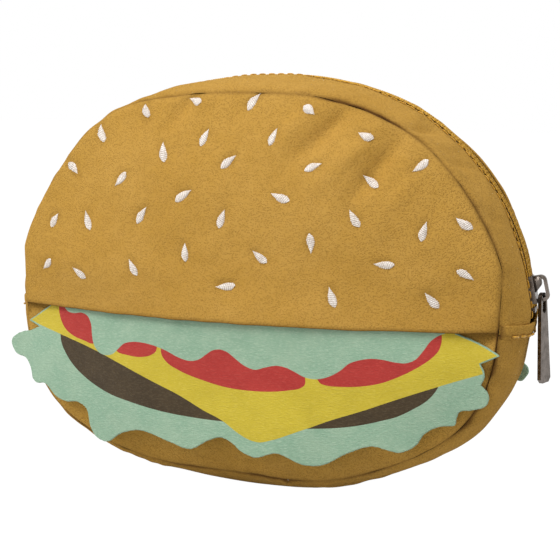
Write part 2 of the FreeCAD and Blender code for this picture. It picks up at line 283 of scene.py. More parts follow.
# ---- finishes -----------------------------------------------------------------------------------
@dataclass(frozen=True)
class SuedeFinish:
    """Napped suede: cloudy where it was brushed, speckled close up, with painted shade darkening it
    down in the seams.
    """
    name: str = "mustard_suede"
    colour: Colour = srgb(178, 137, 61)
    pale: Colour = srgb(193, 152, 78)
    deep: Colour = srgb(124, 85, 33)
    # seam is the colour of the dark specks, and also the colour that the painted shade in seams and
    # creases darkens towards.
    seam: Colour = srgb(84, 54, 22)

    def make(self) -> bpy.types.Material:
        """Builds the material.

        Returns:
            The material.
        """
        sheet = ShaderSheet(bpy.data.materials.new(self.name))
        cloud = sheet.noise(34.0, 3.0, 0.6).between(0.32, 0.70)
        patch = sheet.noise(3.6, 4.0, 0.62).between(0.30, 0.72)
        fleck = 1.0 - sheet.cells(0.68).between(0.14, 0.62)
        speck = 1.0 - sheet.cells(2.3).between(0.04, 0.20)
        tone = sheet.mix(cloud * 0.35 + patch * 0.25, self.colour, self.pale)
        tone = sheet.mix(fleck * 0.30, tone, self.deep)
        tone = sheet.mix(speck * 0.25, tone, self.seam)
        # Painted shade: the mesh's seam_shade value darkens the cloth towards the seam colour in
        # seams, creases, under the hem, on turned edges and round seeds.
        tone = sheet.mix(sheet.painted("seam_shade"), tone, self.seam)
        nap = (1.0 - fleck) * 0.5 + sheet.noise(1.7, 3.0, 0.6) * 0.5
        return sheet.close(nap, 0.26, Base_Color=tone, Roughness=0.95, Sheen_Weight=0.14,
                           Sheen_Roughness=0.5, Sheen_Tint=self.pale,
                           Specular_IOR_Level=0.1)


@dataclass(frozen=True)
class FeltFinish:
    """Pressed felt: short fibres lying every way, some of them paler."""
    name: str
    colour: Colour
    pale: Colour
    deep: Colour
    flecks: float = 0.35

    def make(self) -> bpy.types.Material:
        """Builds the material.

        Returns:
            The material.
        """
        sheet = ShaderSheet(bpy.data.materials.new(self.name))
        one = sheet.noise(1.0, 2.0, 0.6, sheet.stretched((0.0, 0.9, 0.0), (0.6, 1.0, 2.0)))
        two = sheet.noise(1.0, 2.0, 0.6, sheet.stretched((0.0, -0.5, 0.0), (0.6, 1.0, 2.1)))
        cloud = sheet.noise(11.0, 4.0, 0.6).between(0.32, 0.68)
        fibre = sheet.node("ShaderNodeMath", {"operation": "MAXIMUM"}, {0: one, 1: two})
        tone = sheet.mix(cloud * 0.5, self.deep, self.colour)
        tone = sheet.mix(fibre.between(0.50, 0.74) * self.flecks, tone, self.pale)
        tone = sheet.mix((1.0 - one.between(0.30, 0.46)) * 0.20, tone, self.deep)
        return sheet.close(fibre * 0.7 + sheet.noise(0.6, 3.0, 0.7) * 0.3, 0.50,
                           Base_Color=tone, Roughness=0.97, Sheen_Weight=0.18,
                           Sheen_Roughness=0.6, Specular_IOR_Level=0.12)


@dataclass(frozen=True)
class ThreadFinish:
    """Twisted thread, with a soft shine along its lay."""
    name: str
    colour: Colour
    deep: Colour
    shine: float = 0.45
    twist: float = 0.35

    def make(self) -> bpy.types.Material:
        """Builds the material.

        Returns:
            The material.
        """
        sheet = ShaderSheet(bpy.data.materials.new(self.name))
        lay = sheet.noise(self.twist, 1.0, 0.5, sheet.stretched((0.6, 0.5, 0.4), (1.0, 0.3, 1.8)))
        cloud = sheet.noise(2.4, 2.0, 0.5).between(0.3, 0.7)
        tone = sheet.mix(lay.between(0.3, 0.6) * 0.75 + cloud * 0.25, self.deep, self.colour)
        # Painted shade: the seam_shade value darkens the thread towards its deep colour, between
        # the satin stitches of the seeds and at their sides.
        tone = sheet.mix(sheet.painted("seam_shade"), tone, self.deep)
        return sheet.close(lay, 0.10, Base_Color=tone, Roughness=0.62 - 0.2 * self.shine,
                           Sheen_Weight=0.2, Specular_IOR_Level=self.shine)


@dataclass(frozen=True)
class WovenFinish:
    """Close woven cloth or zip tape, its threads crossing at right angles."""
    name: str
    colour: Colour
    deep: Colour
    thread: float = 0.45

    def make(self) -> bpy.types.Material:
        """Builds the material.

        Returns:
            The material.
        """
        sheet = ShaderSheet(bpy.data.materials.new(self.name))
        waves = {"wave_type": "BANDS", "bands_direction": "DIAGONAL"}
        rows = [sheet.node("ShaderNodeTexWave", waves,
                           {"Vector": sheet.stretched(turn, (1.0, 1.0, 1.0)),
                            "Scale": 1.0 / (self.thread * MM * 6), "Distortion": 0.6,
                            "Detail": 1.0}, "Fac")
                for turn in ((0.0, 0.0, 0.0), (0.0, math.pi / 2, 0.0))]
        weave = rows[0] * 0.5 + rows[1] * 0.5
        cloud = sheet.noise(7.0, 3.0, 0.5).between(0.3, 0.7)
        tone = sheet.mix(weave * 0.6 + cloud * 0.4, self.deep, self.colour)
        return sheet.close(weave, 0.12, Base_Color=tone, Roughness=0.85, Sheen_Weight=0.1,
                           Specular_IOR_Level=0.25)


@dataclass(frozen=True)
class MetalFinish:
    """Gunmetal plate, cloudy, rubbed brighter here and there, with fine scratches."""
    name: str = "gunmetal"
    colour: Colour = srgb(124, 115, 108)
    bright: Colour = srgb(172, 164, 156)
    deep: Colour = srgb(88, 80, 73)

    def make(self) -> bpy.types.Material:
        """Builds the material.

        Returns:
            The material.
        """
        sheet = ShaderSheet(bpy.data.materials.new(self.name))
        cloud = sheet.noise(2.6, 4.0, 0.6).between(0.30, 0.72)
        scratch = sheet.noise(0.22, 2.0, 0.5, sheet.stretched((0.4, 0.2, 0.1), (1.0, 1.0, 0.08)))
        tone = sheet.mix(cloud, self.deep, self.colour)
        tone = sheet.mix(scratch.between(0.55, 0.72) * 0.45, tone, self.bright)
        rough = 0.24 + 0.16 * cloud
        return sheet.close(scratch, 0.02, Base_Color=tone, Roughness=rough, Metallic=1.0)


@dataclass(frozen=True)
class NylonFinish:
    """Moulded nylon of the zip's coil."""
    name: str
    colour: Colour
    deep: Colour

    def make(self) -> bpy.types.Material:
        """Builds the material.

        Returns:
            The material.
        """
        sheet = ShaderSheet(bpy.data.materials.new(self.name))
        cloud = sheet.noise(1.8, 3.0, 0.5).between(0.3, 0.7)
        tone = sheet.mix(cloud, self.deep, self.colour)
        return sheet.close(sheet.noise(0.5, 2.0, 0.5), 0.02, Base_Color=tone,
                           Roughness=0.34 + 0.14 * cloud, Specular_IOR_Level=0.5)


class Finishes:
    """Every finish of the pouch, made once."""

    def __init__(self) -> None:
        """Builds the materials."""
        self.suede = SuedeFinish().make()
        self.green = FeltFinish("green_felt", srgb(160, 186, 161), srgb(190, 212, 190),
                                srgb(138, 172, 147)).make()
        self.yellow = FeltFinish("yellow_print", srgb(207, 187, 58), srgb(220, 204, 94),
                                 srgb(192, 172, 50), 0.30).make()
        self.red = FeltFinish("red_print", srgb(185, 60, 54), srgb(200, 88, 78),
                              srgb(168, 50, 46), 0.30).make()
        self.brown = FeltFinish("brown_print", srgb(77, 63, 42), srgb(108, 94, 70),
                                srgb(62, 50, 33), 0.35).make()
        self.seed = ThreadFinish("seed_thread", srgb(253, 250, 246), srgb(176, 158, 142),
                                 0.5, 0.30).make()
        self.thread = ThreadFinish("mustard_thread", srgb(218, 166, 46), srgb(162, 114, 26),
                                   0.25).make()
        self.chain = ThreadFinish("chain_thread", srgb(216, 168, 46), srgb(158, 114, 28),
                                  0.3).make()
        self.tape = WovenFinish("zip_tape", srgb(184, 144, 58), srgb(126, 92, 36)).make()
        self.lining = WovenFinish("lining_cloth", srgb(176, 146, 96), srgb(146, 116, 70),
                                  0.6).make()
        self.coil = NylonFinish("coil_nylon", srgb(160, 122, 44), srgb(110, 80, 30)).make()
        self.metal = MetalFinish().make()


# ---- shape helpers ------------------------------------------------------------------------------
class Side(Enum):
    """The two faces of the pouch."""
    FRONT = "front"
    BACK = "back"

    def place(self, points: Array) -> Array:
        """Points of a front piece, turned half round the upright axis for the back."""
        return points if self is Side.FRONT else points * np.array([-1.0, -1.0, 1.0])


class Ripples:
    """Smooth made-up unevenness: a sum of waves with a fixed seed."""

    def __init__(self, seed: int, shortest: float, longest: float, count: int = 14) -> None:
        """Chooses the waves.

        Args:
            seed: seed of the choice.
            shortest: shortest wave, in millimetres.
            longest: longest wave, in millimetres.
            count: how many waves.
        """
        chance = np.random.default_rng(seed)
        lengths = np.exp(chance.uniform(math.log(shortest), math.log(longest), count))
        turns = chance.uniform(0.0, 2 * math.pi, count)
        self.along = 2 * math.pi / lengths * np.cos(turns)
        self.across = 2 * math.pi / lengths * np.sin(turns)
        self.start = chance.uniform(0.0, 2 * math.pi, count)
        self.strength = np.sqrt(lengths / longest) / math.sqrt(count / 2)

    def at(self, u: Array, v: Union[Array, float] = 0.0) -> Array:
        """Value, mostly within -1 to 1, at places u, v in millimetres.

        Args:
            u: places one way.
            v: places the other way.

        Returns:
            The values.
        """
        total = np.zeros(np.broadcast(u, v).shape)
        for along, across, start, strength in zip(self.along, self.across, self.start,
                                                  self.strength):
            total += strength * np.sin(along * u + across * v + start)
        return total


def outward_at(angle: Array) -> Array:
    """Directions away from the zip's centre, one row for each angle."""
    return np.stack([np.cos(angle), 0 * angle, np.sin(angle)], axis=-1)


def step(low: float, high: float, value: Array) -> Array:
    """Smooth step from 0 at low to 1 at high."""
    share = np.clip((value - low) / (high - low), 0.0, 1.0)
    return share * share * (3 - 2 * share)


def folded(folds: Sequence[tuple[float, ...]], x: Array, z: Array) -> Array:
    """Depth of soft folds in a cloth face.

    Args:
        folds: place across and up, direction, length, width and depth of each.
        x: places across.
        z: levels.

    Returns:
        How far the cloth is pushed in.
    """
    depth = np.zeros(np.shape(x))
    for across, up, turn, length, width, deep in folds:
        u = (x - across) * math.cos(turn) + (z - up) * math.sin(turn)
        v = (z - up) * math.cos(turn) - (x - across) * math.sin(turn)
        depth += deep * np.exp(-(u / length) ** 2 - (v / width) ** 2)
    return depth


def make_mesh(name: str, points: Array, faces: Sequence[Sequence[int]],
              finishes: Sequence[bpy.types.Material], slots: Optional[Sequence[int]] = None,
              shade: Optional[Array] = None) -> bpy.types.Object:
    """Makes a smooth-shaded mesh object.

    Args:
        name: the object's name.
        points: corners in millimetres, one row each.
        faces: corner numbers of each face, counter-clockwise from outside.
        finishes: the materials.
        slots: the material of each face, if there are several.
        shade: painted shade at each point, darkest down in seams and creases, 0 to 1.

    Returns:
        The object, in metres.
    """
    mesh = bpy.data.meshes.new(name)
    mesh.from_pydata((np.asarray(points) * MM).tolist(), [], [tuple(face) for face in faces])
    for finish in finishes:
        mesh.materials.append(finish)
    if slots is not None:
        mesh.polygons.foreach_set("material_index", list(slots))
    mesh.polygons.foreach_set("use_smooth", [True] * len(mesh.polygons))
    store = mesh.attributes.new("seam_shade", "FLOAT", "POINT")
    if shade is not None:
        store.data.foreach_set("value", np.clip(shade, 0.0, 1.0).astype(np.float32))
    mesh.update()
    piece = bpy.data.objects.new(name, mesh)
    bpy.context.scene.collection.objects.link(piece)
    return piece


def grid_faces(rows: int, columns: int, round_rows: bool = False, round_columns: bool = False,
               start: int = 0) -> list[tuple[int, int, int, int]]:
    """Quads of a grid of points kept row by row.

    Args:
        rows: number of rows.
        columns: points in a row.
        round_rows: the last row joins the first.
        round_columns: the last column joins the first.
        start: number of the grid's first point.

    Returns:
        The faces.
    """
    faces = []
    for i in range(rows if round_rows else rows - 1):
        for j in range(columns if round_columns else columns - 1):
            a, b = i * columns + j, i * columns + (j + 1) % columns
            c, d = ((i + 1) % rows) * columns + (j + 1) % columns, ((i + 1) % rows) * columns + j
            faces.append((start + a, start + b, start + c, start + d))
    return faces


def tubes(paths: Iterable[Array], outward: Iterable[Array], radius: Union[float, Array],
          sides: int = 6) -> tuple[Array, list]:
    """Round threads along paths, closed to a point at both ends.

    Args:
        paths: each thread's points.
        outward: for each path, the direction that is up at each point.
        radius: thickness, the same or one for each point of a path.
        sides: sides of the tube.

    Returns:
        Points and faces of all the threads.
    """
    points, faces, start = [], [], 0
    turn = np.linspace(0, 2 * math.pi, sides, endpoint=False)
    for path, up in zip(paths, outward):
        ahead = np.gradient(path, axis=0)
        ahead /= np.linalg.norm(ahead, axis=1)[:, None]
        side = np.cross(ahead, up)
        side /= np.linalg.norm(side, axis=1)[:, None]
        up = np.cross(side, ahead)
        size = np.broadcast_to(radius, (len(path),)).copy()
        size[0] = size[-1] = size[0] * 0.15
        ring = (side[:, None, :] * np.cos(turn)[None, :, None]
                + up[:, None, :] * np.sin(turn)[None, :, None])
        block = path[:, None, :] + ring * size[:, None, None]
        points.append(block.reshape(-1, 3))
        faces += grid_faces(len(path), sides, round_columns=True, start=start)
        faces.append(tuple(start + j for j in range(sides)))
        faces.append(tuple(start + (len(path) - 1) * sides + j for j in reversed(range(sides))))
        start += len(path) * sides
    return np.concatenate(points), faces


def smooth_line(corners: Sequence[tuple[float, float]], gap: float) -> Array:
    """An even run of points along a curve that passes through the corners given.

    Args:
        corners: at least two places.
        gap: distance between points.

    Returns:
        The points, the first and last corners included.
    """
    knots = np.array(corners, float)
    if len(knots) > 2:
        run = np.concatenate([[0.0], np.cumsum(np.linalg.norm(np.diff(knots, axis=0), axis=1))])
        slope = np.gradient(knots, run, axis=0)
        line = []
        for i in range(len(knots) - 1):
            width = run[i + 1] - run[i]
            t = np.linspace(0, 1, 12, endpoint=False)[:, None]
            line.append((2 * t ** 3 - 3 * t ** 2 + 1) * knots[i]
                        + (t ** 3 - 2 * t ** 2 + t) * width * slope[i]
                        + (3 * t ** 2 - 2 * t ** 3) * knots[i + 1]
                        + (t ** 3 - t ** 2) * width * slope[i + 1])
        knots = np.concatenate(line + [knots[-1:]])
    run = np.concatenate([[0.0], np.cumsum(np.linalg.norm(np.diff(knots, axis=0), axis=1))])
    count = max(int(round(run[-1] / gap)), 1)
    places = np.linspace(0, run[-1], count + 1)
    return np.stack([np.interp(places, run, knots[:, i]) for i in (0, 1)], axis=1)


def within(points: Array, loop: Array) -> Array:
    """Whether each flat point lies inside a closed line.

    Args:
        points: flat places, one row each.
        loop: the line, without a repeated end.

    Returns:
        True for each point inside.
    """
    inside = np.zeros(len(points), bool)
    x, z = points[:, 0], points[:, 1]
    for (x0, z0), (x1, z1) in zip(loop, np.roll(loop, -1, axis=0)):
        if z0 == z1:
            continue
        crossing = (z0 > z) != (z1 > z)
        inside ^= crossing & (x < x0 + (z - z0) * (x1 - x0) / (z1 - z0))
    return inside


def cut_flat(outline: Array, marks: Sequence[tuple[Array, bool]], gap: float
             ) -> tuple[Array, Array]:
    """Triangulates a flat shape so that its edges follow the outline and the marks.

    Args:
        outline: closed line, without a repeated end.
        marks: further lines to follow, each with whether it is closed.
        gap: spacing of the points between.

    Returns:
        Flat points and triangles, counter-clockwise.
    """
    lines = [(outline, True), *marks]
    low, high = outline.min(axis=0), outline.max(axis=0)
    rows = np.arange(low[1] + gap * 0.4, high[1], gap * math.sqrt(3) / 2)
    inner = np.array([(x + (i % 2) * gap / 2, z) for i, z in enumerate(rows)
                      for x in np.arange(low[0], high[0], gap)])
    inner = inner[within(inner, outline)]
    fixed = np.concatenate([line for line, _ in lines])
    free = np.ones(len(inner), bool)
    for block in range(0, len(fixed), 400):
        part = fixed[block:block + 400]
        apart = ((inner[:, None, :] - part[None]) ** 2).sum(axis=2).min(axis=1)
        free &= apart > (gap * 0.55) ** 2
    inner = inner[free]
    corners, edges, start = [Vector(point) for point in fixed], [], 0
    for line, closed in lines:
        count = len(line)
        edges += [(start + i, start + (i + 1) % count)
                  for i in range(count if closed else count - 1)]
        start += count
    corners += [Vector(point) for point in inner]
    found = delaunay_2d_cdt(corners, edges, [], 0, 1e-5)
    points = np.array([tuple(corner) for corner in found[0]])
    triangles = np.array([tuple(face) for face in found[2] if len(face) == 3])
    middles = points[triangles].mean(axis=1)
    triangles = triangles[within(middles, outline)]
    used, numbers = np.unique(triangles, return_inverse=True)
    return points[used], numbers.reshape(-1, 3)


def dress(piece: bpy.types.Object, nodes: Sequence[str] = (), body: str = "bag"
          ) -> bpy.types.Object:
    """Lets a piece ride on its body and stand for its CAD nodes.

    Args:
        piece: the finished piece.
        nodes: nodes that it stands for.
        body: the body it moves with.

    Returns:
        The piece.
    """
    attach(piece, body)
    if nodes:
        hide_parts(*nodes)
    log.info("%s: %d faces", piece.name, len(piece.data.polygons))
    return piece


# ---- the pouch's envelope -----------------------------------------------------------------------
@dataclass
class PouchForm:
    """Outline of the face seam, the domed faces and the bulged edge band, in millimetres."""
    half_width: float = 100.0
    rise: float = 65.7
    drop: float = 91.8
    widest: float = 98.6
    shoulder: tuple[float, float] = (2.96, 1.21)
    base_curve: tuple[float, float] = (1.95, 3.74)
    half_depth: float = 29.2
    bun_bulge: float = 17.9
    lower_bulge: float = 14.5
    hem: float = 74.7
    edge_bulge: float = 7.8
    zip_centre: float = 63.1
    zip_radius: float = 110.5
    open_from: float = 10.0
    ease: float = 7.0
    groove: float = 1.3
    groove_width: float = 1.5
    seam_depth: tuple[tuple[float, float], ...] = (
        (-180, 0.7), (-120, 0.9), (-60, 0.8), (0, 0.85), (30, 0.8), (46, 0.9), (56, 1.35),
        (70, 1.2), (76, 0.5), (104, 0.45), (112, 0.9), (124, 0.8), (145, 0.5), (180, 0.7))
    front_give: tuple[tuple[float, float], ...] = (
        (-180, 1.0), (-160, 2.3), (-139, 1.2), (-128, 0.6), (-115, -1.6), (-101, -2.5),
        (-87, -2.4), (-75, -0.9), (-61, 0.5), (-38, -1.0), (-27, -1.4), (-16, -0.4), (0, 0),
        (106, 0), (113, 1.2), (121, 3.5), (130, 3.6), (139, 2.0), (148, 1.3), (157, 1.2),
        (168, 0.6), (180, 1.0))
    middle_give: tuple[tuple[float, float], ...] = (
        (-180, 0.3), (-160, 1.2), (-139, 0.5), (-115, 0), (-60, 0), (-38, -1.5), (-27, -2.1),
        (-16, -0.8), (-6, 0), (15, 0), (22, 1.6), (30, 2.3), (57, 2.7), (64, 1.5), (72, -0.2),
        (81, -1.2), (90, -2.4), (98, -2.1), (106, -1.0), (113, 0.6), (121, 2.4), (130, 2.5),
        (139, 1.2), (150, 0.5), (161, 0), (170, 0), (180, 0.3))
    pucker: Ripples = field(default_factory=lambda: Ripples(11, 7.0, 26.0, 10))
    pucker_reach: Ripples = field(default_factory=lambda: Ripples(12, 40.0, 110.0, 6))

    def __post_init__(self) -> None:
        """Rounds off the steps of the two lines that say how the soft body gives."""
        self.gives = []
        for line in (self.front_give, self.middle_give):
            even = np.interp(np.arange(-180, 180), *zip(*line))
            bell = np.exp(-(np.arange(-12, 13) / 4.5) ** 2)
            around = np.concatenate([even[-12:], even, even[:12]])
            self.gives.append(np.convolve(around, bell / bell.sum(), "valid"))

    def settled(self, points: Array) -> Array:
        """The soft body's own lopsidedness, which its stiff pattern doesn't have.

        Args:
            points: places on the plain form, one row each.

        Returns:
            The places after the body has settled.
        """
        x, y, up = points[:, 0], points[:, 1], points[:, 2] - self.zip_centre
        angle, radius = np.arctan2(up, x), np.hypot(x, up)
        grid = np.arange(-180, 181)
        front, middle = (np.interp(np.degrees(angle), grid, np.append(give, give[0]))
                         for give in self.gives)
        share = step(-self.half_depth, 0.0, y)
        give = front + (middle - front) * share
        give = give * (1 - 0.5 * step(8.0, self.half_depth, y))
        reach = np.clip(radius / self.reach(angle, self.zip_centre), 0.0, 1.0) ** 2
        longer = 1 + give * reach / np.maximum(radius, 1.0)
        return np.stack([x * longer, y, np.maximum(self.zip_centre + up * longer, 0.0)], axis=1)

    def placed(self, side: Side, points: Array) -> Array:
        """Points of a piece on one side of the body, after the body has settled."""
        return self.settled(side.place(points.reshape(-1, 3)))

    def outside(self, x: Array, z: Array) -> Array:
        """Positive outside the face seam outline.

        Args:
            x: places across.
            z: levels.

        Returns:
            About 0 on the outline and -1 at its middle.
        """
        rise = z - self.widest
        above = (np.abs(x / self.half_width) ** self.shoulder[0]
                 + np.abs(rise / self.rise) ** self.shoulder[1])
        below = (np.abs(x / self.half_width) ** self.base_curve[0]
                 + np.abs(rise / self.drop) ** self.base_curve[1])
        return np.where(rise > 0, above, below) - 1.0

    def reach(self, angle: Array, centre: float) -> Array:
        """Distance to the seam outline from a point on the upright axis.

        Args:
            angle: directions in radians.
            centre: level of the point.

        Returns:
            The distances.
        """
        low, high = np.zeros_like(angle), np.full_like(angle, 2 * self.half_width)
        for _ in range(44):
            middle = (low + high) / 2
            out = self.outside(middle * np.cos(angle), centre + middle * np.sin(angle)) > 0
            high, low = np.where(out, middle, high), np.where(out, low, middle)
        return low

    def rim(self, angle: Array) -> Array:
        """Distance of the edge band from the zip's centre at the mid-plane.

        Args:
            angle: directions from the zip's centre in radians.

        Returns:
            The distances.
        """
        above = np.degrees(np.arcsin(np.sin(angle)))
        share = step(0.0, 1.0, (above - self.open_from) / self.ease + 1)
        seam = self.reach(angle, self.zip_centre)
        return share * self.zip_radius + (1 - share) * (seam + self.edge_bulge)

    def depth(self, angle: Array) -> Array:
        """Share of its full depth that the seam has in a direction."""
        turn = np.degrees(np.arctan2(np.sin(angle), np.cos(angle)))
        return np.interp(turn, *zip(*self.seam_depth))

    def tucked(self, away: Array, angle: Array) -> Array:
        """How far the cloth turns in at this distance from the seam, in this direction."""
        return self.groove * self.depth(angle) * np.exp(-(away / self.groove_width) ** 1.4)

    def painted_seam_shade(self, angle: Array, away: Array) -> Array:
        """Painted shade on the cloth down in the seam groove, in a direction from the hem's middle.

        Args:
            angle: directions in radians.
            away: distances from the seam.

        Returns:
            Painted shade, 0 to 1.
        """
        depth = 0.62 + 0.35 * np.clip(self.pucker_reach.at(angle * 90.0), -1.0, 1.0)
        depth = depth * self.depth(angle)
        return depth * np.exp(-(away / 1.0) ** 2) + 0.30 * depth * np.exp(-(away / 3.2) ** 2)

    def gathers(self, along: Array, away: Array, seed: float = 0.0) -> Array:
        """Puckers that run away from the seam, at a place along it and a distance from it.

        Args:
            along: places along the seam.
            away: distances from it.
            seed: shifts the pattern.

        Returns:
            The distance that the cloth stands out.
        """
        strength = 0.35 + 0.75 * np.clip(self.pucker_reach.at(along + seed), 0.0, 1.2)
        wave = self.pucker.at(along + seed * 1.7 + 0.25 * away)
        return strength * wave * np.exp(-away / 9.0) * (1 - np.exp(-away / 1.2))

    def band(self, angle: Array, y: Array, out: Union[Array, float] = 0.0) -> Array:
        """Points of the edge band.

        Args:
            angle: directions from the zip's centre in radians.
            y: places from front to back.
            out: distance outside the band's plain surface.

        Returns:
            The points.
        """
        angle, y = np.broadcast_arrays(angle, y)
        seam = self.reach(angle, self.zip_centre)
        away = self.half_depth - np.abs(y)
        tuck = self.tucked(away, angle)
        radius = seam + (self.rim(angle) - seam) * (1 - (y / self.half_depth) ** 2) + out - tuck
        points = np.stack([radius * np.cos(angle), y - np.sign(y) * tuck * 0.6,
                           self.zip_centre + radius * np.sin(angle)], axis=-1)
        points[..., 2] = np.maximum(points[..., 2], 0.0)
        return points

    def share(self, x: Array, z: Array) -> Array:
        """Share of the way from the middle of the hem out to the seam.

        Args:
            x: places across.
            z: levels.

        Returns:
            0 in the middle, 1 at the seam.
        """
        low, high = np.zeros(np.shape(x)), np.full(np.shape(x), 2.0)
        for _ in range(40):
            middle = (low + high) / 2
            out = self.outside(x / middle, self.hem + (z - self.hem) / middle) < 0
            high, low = np.where(out, middle, high), np.where(out, low, middle)
        return high

    def seam_loop(self, count: int = 720, inset: float = 0.0) -> Array:
        """The seam outline as flat points, counter-clockwise from the +X side.

        Args:
            count: number of points.
            inset: distance inside the outline.

        Returns:
            Points across and up.
        """
        angle = np.linspace(0, 2 * math.pi, count, endpoint=False)
        far = self.reach(angle, self.hem)
        loop = np.stack([far * np.cos(angle), self.hem + far * np.sin(angle)], axis=1)
        if inset:
            ahead = np.roll(loop, -1, axis=0) - np.roll(loop, 1, axis=0)
            ahead /= np.linalg.norm(ahead, axis=1)[:, None]
            loop = loop + np.stack([-ahead[:, 1], ahead[:, 0]], axis=1) * inset
        return loop

    def seam_part(self, above: bool, level: float, count: int = 900, inset: float = 0.0) -> Array:
        """The part of the seam outline on one side of a level, from one end to the other.

        Args:
            above: whether it is the upper part.
            level: where it is cut off.
            count: number of points in the whole outline.
            inset: distance inside the outline.

        Returns:
            Points across and up.
        """
        loop = self.seam_loop(count, inset)
        loop = loop[loop[:, 1] > level if above else loop[:, 1] < level]
        x, z = loop[:, 0], loop[:, 1]
        order = np.arctan2(z - self.hem, x) if above else np.arctan2(x, self.hem + 30 - z)
        return loop[np.argsort(order)]

    def seam_marks(self, above: bool, level: float) -> list[tuple[Array, bool]]:
        """Lines close inside the seam, where the cloth turns in and needs finer faces."""
        return [(self.seam_part(above, level, 640, inset), False) for inset in (0.5, 1.1, 1.9, 2.9)]


SEEDS: tuple[tuple[int, int, int], ...] = (
    (-24, 159, 165), (-43, 153, 99), (-61, 143, 91), (-34, 139, 97), (-18, 146, 66),
    (0, 160, 55), (-7, 137, 39), (-51, 127, 225), (-74, 130, 312), (-24, 123, 36),
    (-66, 111, 108), (-41, 114, 56), (-8, 115, 72), (-22, 101, 91), (23, 157, 325),
    (10, 147, 67), (46, 148, 156), (27, 136, 20), (49, 131, 141), (67, 137, 214),
    (15, 124, 157), (44, 117, 120), (70, 113, 74), (28, 107, 273), (84, 116, 140),
    (56, 100, 176), (86, 97, 327), (74, 87, 129), (-83, 110, 56), (-86, 92, 219),
    (-69, 90, 144), (-44, 94, 117), (8, 101, 140), (-5, 89, 183), (37, 87, 106))


SHORT_SEEDS: dict[tuple[int, int], float] = {
    (-43, 153): 0.50, (-61, 143): 0.66, (-74, 130): 0.55, (-24, 159): 0.72, (-83, 110): 0.85,
    (-86, 92): 0.85, (-51, 127): 0.92, (67, 137): 0.78, (23, 157): 0.72, (46, 148): 0.88}


